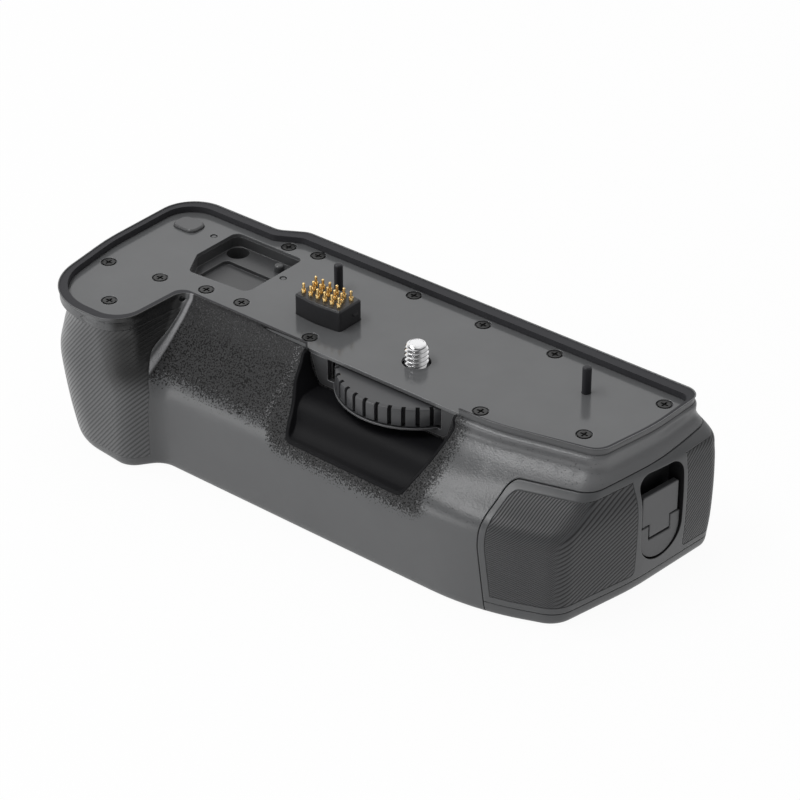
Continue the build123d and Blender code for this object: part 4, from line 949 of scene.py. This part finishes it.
def helix(name: str, profile: Sequence[Span], pitch: float, turns: int) -> Piece:
    """Wind a profile of one pitch into a thread.

    Args:
        name: The piece's name.
        profile: Points of radius and height in millimetres, up one pitch.
        pitch: The pitch in millimetres.
        turns: The number of turns.

    Returns:
        The thread as an open tube.
    """
    clear()
    bpy.ops.mesh.primitive_plane_add(size=MM, location=(0, 0, 0))
    edit(bpy.context.object)
    bpy.ops.mesh.merge(type="CENTER")
    bpy.ops.transform.translate(value=(profile[0][0] * MM, 0, profile[0][1] * MM))
    for before, after in zip(profile, profile[1:]):
        step = ((after[0] - before[0]) * MM, 0, (after[1] - before[1]) * MM)
        bpy.ops.mesh.extrude_region_move(TRANSFORM_OT_translate={"value": step})
    done()
    piece = named(name)
    modify(
        piece, "SCREW", angle=math.tau, screw_offset=pitch * MM, iterations=turns,
        steps=THREAD_STEPS, render_steps=THREAD_STEPS, use_merge_vertices=True,
        merge_threshold=THREAD_WELD * MM, use_smooth_shade=True,
    )
    return piece


def finished(piece: Piece, finish: Finish, body: Body, nodes: Iterable[str]) -> None:
    """Give a piece its finish, its body and the nodes that it stands for.

    Args:
        piece: The piece.
        finish: Its finish.
        body: The body that it rides on.
        nodes: The nodes that it replaces.
    """
    piece.data.materials.clear()
    piece.data.materials.append(finish.material())
    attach(piece, body.value)
    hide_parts(*nodes)
    LOG.info("%s: %d faces, %s", piece.name, len(piece.data.polygons), finish.name)


def second_finish(piece: Piece, finish: Finish, test: Test) -> None:
    """Give the faces that pass a test a second finish.

    Args:
        piece: The piece, which has its first finish.
        finish: The second finish.
        test: Takes a face's centre in millimetres and its normal.
    """
    piece.data.materials.append(finish.material())
    count = 0
    for face in piece.data.polygons:
        if test(face.center / MM, face.normal):
            face.material_index = 1
            count += 1
    LOG.info("%s: %d faces in %s", piece.name, count, finish.name)


def outlined(node: str, name: str, finish: Finish, body: Body, width: float) -> None:
    """Dress a node's welded copy, with a dark chamfer along its sharp edges.

    Args:
        node: The node.
        name: The name of the copy.
        finish: Its finish.
        body: The body that it rides on.
        width: The chamfer's width in millimetres.
    """
    piece = from_node(node, name)
    modify(
        piece, "BEVEL", width=width * MM, segments=1, limit_method="ANGLE",
        angle_limit=math.radians(OUTLINE_SHARP), material=1, use_clamp_overlap=False,
    )
    smooth(piece)
    chosen = [face.index for face in piece.data.polygons if face.material_index == 1]
    finished(piece, finish, body, [node])
    piece.data.materials.append(SEAM.material())
    for index in chosen:
        piece.data.polygons[index].material_index = 1


def dressed(node: str, name: str, finish: Finish, body: Body) -> Piece:
    """Dress a node's welded copy.

    Args:
        node: The node.
        name: The name of the copy.
        finish: Its finish.
        body: The body that it rides on.

    Returns:
        The copy.
    """
    piece = from_node(node, name)
    finished(piece, finish, body, [node])
    return piece


def dress_rows(body: Body, *rows: tuple[str, str, Finish]) -> None:
    """Dress several nodes of one body, each given with its copy's name and finish."""
    for node, name, finish in rows:
        dressed(node, name, finish, body)


class Housing:
    """The shell, the thumb scoop and the rubber lobe."""

    def build(self) -> None:
        """Dress the shell's pieces."""
        dress_rows(
            Body.GRIP,
            ("main_shell", "shell", SHELL),
            ("thumb_scoop", "scoop_liner", LINER),
            ("grip_skin", "lobe_skin", LOBE),
            ("wheel_panel", "panel", PANEL),
        )


@dataclass
class CameraPlate:
    """The plate with its gasket, screws, pins, bumper and pocket."""

    top: float = 41.0
    head_radius: float = 1.8
    head_thickness: float = 0.65
    shank_radius: float = 0.9
    shank_length: float = 4.0
    cross_length: float = 2.2
    cross_width: float = 0.5
    cross_depth: float = 0.4
    head_sides: int = 48
    head_softness: float = 0.08
    head_edge: float = 0.12
    sunk_depth: float = 0.06
    screws: int = 14
    pin_radius: float = 1.2
    pin_sides: int = 64
    pin_chamfer: float = 0.5
    pin_smooth: float = 40.0
    probe_reach: float = 1.2
    probe_rise: float = 10.0
    level: float = 0.8

    def screw(self) -> Piece:
        """Model one plate screw round the origin's axis.

        Returns:
            The screw.
        """
        seat = self.top - self.head_thickness
        screw = rod("screw_master", self.head_radius, (seat, self.top), self.head_sides)
        draw_down(screw, -1, self.head_radius - self.shank_radius, self.shank_length)
        for long, wide in ((self.cross_length, self.cross_width), (self.cross_width, self.cross_length)):
            low = (-long / 2, -wide / 2, self.top - self.cross_depth)
            high = (long / 2, wide / 2, self.top + self.cross_depth)
            cut(screw, bar("slot", low, high))
        soften(screw, self.head_softness)
        smooth(screw)
        return screw

    def outer_wall(self, plate: BVHTree, centre: Vector, normal: Vector) -> bool:
        """Tell whether a face of the gasket looks away from the plate.

        Args:
            plate: The plate's faces.
            centre: The face's centre in millimetres.
            normal: Its normal.

        Returns:
            Whether it does.
        """
        if normal.z > self.level:
            return False
        outward = Vector((normal.x, normal.y, 0.0)).normalized()
        probe = Vector((centre.x, centre.y, 0.0)) + outward * self.probe_reach
        probe.z = self.top + self.probe_rise
        return plate.ray_cast(probe * MM, Vector((0, 0, -1)))[0] is None

    def in_cross(self, centre: Vector, spot: Floats) -> bool:
        """Tell whether a face of a screw lies in its cross or on its rim."""
        reach = math.hypot(centre.x - spot[0], centre.y - spot[1])
        return centre.z < self.top - self.sunk_depth or reach > self.head_radius - self.head_edge

    def pin(self, node: str) -> None:
        """Model a locating pin where its node is.

        Args:
            node: The pin's node.
        """
        low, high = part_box(node)
        x, y, _ = ((a + b) / 2 / MM for a, b in zip(low, high))
        ends = (low[2] / MM, high[2] / MM)
        pin = rod(node + "_turned", self.pin_radius, ends, self.pin_sides, (x, y))
        round_top(pin, self.pin_chamfer, 5)
        smooth(pin, self.pin_smooth)
        finished(pin, PIN, Body.GRIP, [node])

    def build(self) -> None:
        """Model and dress the plate's pieces."""
        dressed("top_plate", "plate", PLATE, Body.GRIP)
        gasket = dressed("rim_gasket", "gasket", GASKET, Body.GRIP)
        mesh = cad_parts["top_plate"].data
        corners = [point.co for point in mesh.vertices]
        faces = BVHTree.FromPolygons(corners, [face.vertices for face in mesh.polygons])
        second_finish(gasket, RIM, lambda centre, normal: self.outer_wall(faces, centre, normal))
        dress_rows(
            Body.GRIP,
            ("plate_bumper", "bumper", BUMPER),
            ("storage_insert", "pocket_liner", POCKET),
            ("storage_peg", "pocket_peg", POCKET),
        )
        master = self.screw()
        for i in range(1, self.screws + 1):
            node = f"plate_screw_{i:02d}"
            low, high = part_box(node)
            spot = [(a + b) / 2 / MM for a, b in zip(low[:2], high[:2])]
            twin = copy(master, node + "_head", (*spot, 0.0))
            finished(twin, SCREW, Body.GRIP, [node])
            # Painted shade in the cross and round the rim of the head.
            second_finish(twin, RECESS_SHADE, lambda centre, normal: self.in_cross(centre, spot))
        bpy.data.objects.remove(master)
        self.pin("locating_pin_left")
        self.pin("locating_pin_right")


@dataclass
class Connector:
    """The block of sprung contacts and its board."""

    pitch: float = 2.42
    rows: Sequence[tuple[float, float, int]] = ((-38.5, 5.4, 6), (-37.3, 3.1, 5), (-38.7, 0.7, 6))
    barrel_radius: float = 0.62
    barrel_low: float = 40.0
    barrel_top: float = 48.0
    barrel_sides: int = 24
    barrel_softness: float = 0.07
    barrel_smooth: float = 45.0
    bore_radius: float = 0.43
    bore_depth: float = 5.0
    plunger_radius: float = 0.38
    plunger_sides: int = 20
    plunger_round: float = 0.26
    plunger_smooth: float = 50.0
    plunger_low: float = 43.0
    plunger_top: float = 49.8

    def spots(self) -> list[Span]:
        """Give the places of the contacts."""
        return [(x + i * self.pitch, y) for x, y, count in self.rows for i in range(count)]

    def barrel(self) -> Piece:
        """Model one barrel with its rolled lip.

        Returns:
            The barrel.
        """
        ends = (self.barrel_low, self.barrel_top)
        barrel = rod("barrel_master", self.barrel_radius, ends, self.barrel_sides)
        draw_down(barrel, 1, self.barrel_radius - self.bore_radius, self.bore_depth)
        soften(barrel, self.barrel_softness)
        smooth(barrel, self.barrel_smooth)
        return barrel

    def plunger(self) -> Piece:
        """Model one plunger with its domed tip.

        Returns:
            The plunger.
        """
        ends = (self.plunger_low, self.plunger_top)
        plunger = rod("plunger_master", self.plunger_radius, ends, self.plunger_sides)
        round_top(plunger, self.plunger_round, 4)
        smooth(plunger, self.plunger_smooth)
        return plunger

    def spread(self, master: Piece, name: str) -> Piece:
        """Copy a master to every contact's place and join the copies.

        Args:
            master: The master, which is thrown away.
            name: The joined piece's name.

        Returns:
            The joined piece.
        """
        spots = enumerate(self.spots())
        twins = [copy(master, f"{name}_{i}", (x, y, 0.0)) for i, (x, y) in spots]
        bpy.data.objects.remove(master)
        return join(twins, name)

    def build(self) -> None:
        """Model and dress the connector's pieces."""
        dressed("connector_block", "contact_carrier", BLOCK, Body.GRIP)
        dressed("circuit_board", "board", BOARD, Body.GRIP)
        barrels = self.spread(self.barrel(), "barrels")
        finished(barrels, GOLD, Body.GRIP, ["contact_barrels"])
        plungers = self.spread(self.plunger(), "plungers")
        finished(plungers, GOLD, Body.CONTACT, ["contact_plungers"])


@dataclass
class WheelUnit:
    """The thumb wheel with the camera screw, its bush and its ring."""

    radius: float = 21.0
    under: float = 34.4
    top: float = 39.5
    teeth: int = 36
    sides_per_tooth: int = 20
    gap: float = 1.15
    depth: float = 1.2
    chamfer: float = 0.7
    foot_chamfer: float = 0.25
    dome: float = 1.9
    tip_radius: float = 1.3
    tip_step: float = 0.04
    stud_radius: float = 3.175
    stud_top: float = 46.85
    journal_radius: float = 2.5
    journal_low: float = 30.4
    pitch: float = 1.27
    thread_depth: float = 0.62
    thread_turns: int = 12
    round_sides: int = 48
    core_sides: int = 64
    stud_smooth: float = 42.0
    rib_slack: float = 0.2
    rib_step: float = 0.15
    level_slack: float = 0.01

    def wheel(self) -> Piece:
        """Model the ribbed wheel.

        Returns:
            The wheel.
        """
        step = 360.0 / self.teeth
        half = math.degrees(self.gap / 2 / self.radius)
        sides = self.teeth * self.sides_per_tooth
        ends = (self.under, self.top)
        wheel = rod("wheel_ribbed", self.radius - self.depth, ends, sides)

        def rib(centre: Vector, normal: Vector) -> bool:
            """Tell whether a side face lies on a rib."""
            angle = math.degrees(math.atan2(centre.y, centre.x))
            return abs(normal.z) < 0.5 and abs((angle + step / 2) % step - step / 2) > half

        choose(wheel, rib)
        bpy.ops.mesh.extrude_region_shrink_fatten(
            TRANSFORM_OT_shrink_fatten={"value": self.depth * MM}
        )
        done()
        for level, width in ((self.top, self.chamfer), (self.under, self.foot_chamfer)):

            def corner(start: Vector, end: Vector) -> bool:
                """Tell whether an edge runs along a rib's corner at the level.

                Args:
                    start: One end in millimetres.
                    end: The other end.

                Returns:
                    Whether it does.
                """
                reach = min(math.hypot(start.x, start.y), math.hypot(end.x, end.y))
                climb = max(abs(start.z - level), abs(end.z - level))
                return reach > self.radius - self.rib_slack and climb < self.level_slack

            choose(wheel, corner, edges=True)
            bpy.ops.mesh.bevel(offset=width * MM, segments=2)
            done()
        ends = (self.under - 1, self.top + 1)
        cut(wheel, rod("bore", self.stud_radius, ends, self.round_sides))
        smooth(wheel)
        return wheel

    def between(self, centre: Vector, normal: Vector) -> bool:
        """Tell whether a face lies between two ribs.

        Args:
            centre: The face's centre in millimetres.
            normal: Its normal.

        Returns:
            Whether it does.
        """
        reach = math.hypot(centre.x, centre.y)
        rib = self.radius - self.chamfer - self.rib_step
        return abs(normal.z) < 0.5 and self.stud_radius + 1 < reach < rib

    def stud(self) -> Piece:
        """Model the camera screw with its thread and journal.

        Returns:
            The screw.
        """
        crest = self.stud_radius
        root = crest - self.thread_depth
        profile = (
            (root, 0.0), (root + 0.08, 0.12), (crest - 0.04, 0.5), (crest, 0.56),
            (crest, 0.68), (crest - 0.04, 0.74), (root + 0.08, 1.15), (root, self.pitch),
        )
        thread = helix("stud_threaded", profile, self.pitch, self.thread_turns)
        thread.location = (0, 0, (self.under - self.pitch) * MM)
        settle(thread)
        edit(thread)
        bpy.ops.mesh.remove_doubles(threshold=WELD * MM)
        # The top stays open, because the core closes it
        for level, above in ((self.under, False), (self.stud_top - self.tip_step, True)):
            bpy.ops.mesh.select_all(action="SELECT")
            bpy.ops.mesh.bisect(
                plane_co=(0, 0, level * MM), plane_no=(0, 0, 1), use_fill=not above,
                clear_outer=above, clear_inner=not above,
            )
        bpy.ops.mesh.select_all(action="SELECT")
        bpy.ops.mesh.normals_make_consistent(inside=False)
        done()
        for point in thread.data.vertices:
            climb = (point.co.z / MM - self.stud_top + self.dome) / self.dome
            if climb > 0:
                swell = math.sqrt(max(0.0, 1 - climb * climb))
                limit = self.tip_radius + (crest - self.tip_radius) * swell
                reach = math.hypot(point.co.x, point.co.y) / MM
                if reach > limit:
                    point.co.x *= limit / reach
                    point.co.y *= limit / reach
        waist = root - self.tip_step
        core = rod("stud_core", waist, (self.under + 1, self.stud_top), self.core_sides)
        round_top(core, waist - self.tip_radius, 6)
        ends = (self.journal_low, self.under)
        journal = rod("journal", self.journal_radius, ends, self.round_sides)
        stud = join([thread, core, journal], "camera_screw")
        smooth(stud, self.stud_smooth)
        return stud

    def build(self) -> None:
        """Model and dress the wheel's pieces."""
        wheel = self.wheel()
        finished(wheel, WHEEL, Body.WHEEL, ["thumb_wheel"])
        # Painted shade on the faces between the ribs.
        second_finish(wheel, GAP_SHADE, self.between)
        finished(self.stud(), STUD, Body.WHEEL, ["tripod_screw"])
        dressed("retaining_ring", "clip", STEEL, Body.WHEEL)
        dressed("screw_bush", "bush", BUSH, Body.GRIP)


class Underside:
    """The chassis plate, its screws, the tripod socket and the bay's contacts."""

    def build(self) -> None:
        """Dress the underside's pieces."""
        dress_rows(
            Body.GRIP,
            ("chassis_plate", "chassis", SHEET),
            ("tripod_insert", "socket", STEEL),
            *((f"base_screw_{i}", f"base_screw_{i}_head", SCREW) for i in range(1, 5)),
            ("bay_contact_block", "bay_carrier", BLOCK),
            ("bay_contacts", "bay_pins", GOLD),
        )


@dataclass
class BatteryTray:
    """The pull-out tray, its cap, pads and latch."""

    outline: float = 0.2
    recess_floor: float = 67.5
    recess_mouth: float = 72.0
    recess_z: Span = (5.0, 33.0)
    recess_slack: float = 2.0
    latch_y: float = 9.5
    recess_half: float = 8.0

    def in_recess(self, centre: Vector, normal: Vector) -> bool:
        """Tell whether a face of the cap lies deep in the latch's recess.

        Args:
            centre: The face's centre in millimetres.
            normal: Its normal.

        Returns:
            Whether it does.
        """
        low, high = self.recess_z
        inside = abs(centre.y - self.latch_y) < self.recess_half and low < centre.z < high
        deep = self.recess_floor - self.recess_slack < centre.x < self.recess_mouth
        return inside and deep and (normal.x < 0.5 or centre.x < self.recess_floor)

    def build(self) -> None:
        """Dress the tray's pieces."""
        dressed("battery_tray", "tray_frame", TRAY, Body.TRAY)
        dressed("tray_blades", "blades", GOLD, Body.TRAY)
        cap = dressed("tray_cap", "cap", CAP, Body.TRAY)
        # Painted shade deep in the latch's recess.
        second_finish(cap, HOLLOW_SHADE, self.in_recess)
        dressed("tray_sill", "sill", CAP, Body.TRAY)
        for node, name, finish, body in (
            ("cap_pad_front", "pad_front", PAD, Body.TRAY),
            ("cap_pad_rear", "pad_rear", PAD_REAR, Body.TRAY),
            ("latch_hub", "hub", LATCH, Body.TRAY),
            ("latch_lever", "lever_flap", LATCH, Body.LEVER),
        ):
            outlined(node, name, finish, body, self.outline)
        dressed("latch_pin", "lever_pin", STEEL, Body.TRAY)
        for i in (1, 2):
            dressed(f"tray_screw_{i}", f"tray_screw_{i}_head", STEEL, Body.TRAY)


@dataclass
class Studio:
    """The floor, the lights and the camera."""

    eye: Spot = (0.441718, -0.544422, 0.467434)
    turn: float = 39.4
    height: float = 32.0
    lens: float = 144.0
    sensor: float = 36.0
    clip: Span = (0.05, 20.0)
    aim: Spot = (0.0, 0.0, 0.03)
    floor_size: float = 8.0
    floor_drop: float = 0.0002
    floor_glow: float = 0.95
    room: float = 0.95
    front_dimming: float = 0.83
    right_dimming: float = 0.5
    front: Span = (-0.2, 0.5)
    high: Span = (0.2, 0.5)
    right: Span = (-0.1, 0.7)
    lamps: Sequence[tuple[str, Spot, Span, float]] = (
        ("overhead_strip", (-0.40, -0.41, 1.11), (0.90, 0.22), 6.8),
        ("front_fill", (-0.80, -1.20, 0.28), (1.0, 0.5), 4.0),
    )

    def floor(self) -> None:
        """Lay the pale floor, which the camera and reflections see as white."""
        clear()
        bpy.ops.mesh.primitive_plane_add(size=self.floor_size, location=(0, 0, -self.floor_drop))
        floor = bpy.context.object
        floor.name = "studio_floor"
        material = bpy.data.materials.new("floor_paper")
        recipe = Recipe(material)
        path = recipe.add("LightPath", {}).outputs
        seen = Value(recipe, path["Is Camera Ray"]).most(Value(recipe, path["Is Glossy Ray"]))
        seen = seen.most(Value(recipe, path["Is Transmission Ray"])) * self.floor_glow
        paper = recipe.add("BsdfDiffuse", {"Color": (0.9, 0.9, 0.9)})
        glow = recipe.add("Emission", {"Color": (1.0, 1.0, 1.0), "Strength": 1.0})
        both = recipe.add("MixShader", {0: seen, 1: paper.outputs[0], 2: glow.outputs[0]})
        recipe.add("OutputMaterial", {"Surface": both.outputs[0]})
        floor.data.materials.append(material)

    def sky(self) -> None:
        """Set the room's light, pale behind and low, dim above the front and at the right."""
        world = bpy.data.worlds.new("room")
        bpy.context.scene.world = world
        recipe = Recipe(world)
        way = recipe.split(recipe.add("TexCoord", {}).outputs["Generated"])
        front = (way.y * -1.0).rise(*self.front)
        high = way.z.rise(*self.high)
        right = way.x.rise(*self.right)
        dimmed = self.room - front * high * self.front_dimming
        level = dimmed * (1 - right * self.right_dimming)
        path = recipe.add("LightPath", {}).outputs
        seen = Value(recipe, path["Is Camera Ray"])
        strength = level * (1 - seen) + seen
        sockets = {"Color": (1.0, 1.0, 1.0), "Strength": strength}
        glow = recipe.add("Background", sockets)
        recipe.add("OutputWorld", {"Surface": glow.outputs[0]})

    def lamp(self, name: str, place: Floats, size: Floats, power: float) -> None:
        """Hang a soft rectangular lamp that faces the grip.

        Args:
            name: The lamp's name.
            place: Its place in metres.
            size: Its two sides in metres.
            power: Its power in watts.
        """
        clear()
        bpy.ops.object.light_add(type="AREA", location=place)
        lamp = bpy.context.object
        lamp.name = name
        lamp.data.shape = "RECTANGLE"
        lamp.data.size, lamp.data.size_y = size
        lamp.data.energy = power
        aim = Vector(self.aim) - Vector(place)
        lamp.rotation_euler = aim.to_track_quat("-Z", "Y").to_euler()

    def camera(self) -> None:
        """Set up the camera at the photograph's viewing angle."""
        turn, height = math.radians(self.turn), math.radians(self.height)
        right = Vector((math.cos(turn), math.sin(turn), 0.0))
        level = math.cos(height)
        back = Vector((math.sin(turn) * level, -math.cos(turn) * level, math.sin(height)))
        up = back.cross(right)
        data = bpy.data.cameras.new("camera")
        data.lens = self.lens
        data.sensor_width = self.sensor
        data.clip_start, data.clip_end = self.clip
        camera = bpy.data.objects.new("camera", data)
        bpy.context.scene.collection.objects.link(camera)
        turned = Matrix((right, up, back)).transposed().to_4x4()
        camera.matrix_world = Matrix.Translation(self.eye) @ turned
        bpy.context.scene.camera = camera

    def build(self) -> None:
        """Set up the whole studio."""
        self.floor()
        self.sky()
        for lamp in self.lamps:
            self.lamp(*lamp)
        self.camera()
        bpy.context.scene.view_settings.view_transform = "Standard"
        LOG.info("studio: %d lamps", len(self.lamps))


def main() -> None:
    """Build the whole scene."""
    logging.basicConfig(level=logging.INFO, format="%(name)s %(message)s")
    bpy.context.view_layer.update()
    units = (Housing, CameraPlate, Connector, WheelUnit, Underside, BatteryTray, Studio)
    for unit in (kind() for kind in units):
        unit.build()
        LOG.info("%s is built", type(unit).__name__)
    clear()


if __name__ == "__main__":
    main()
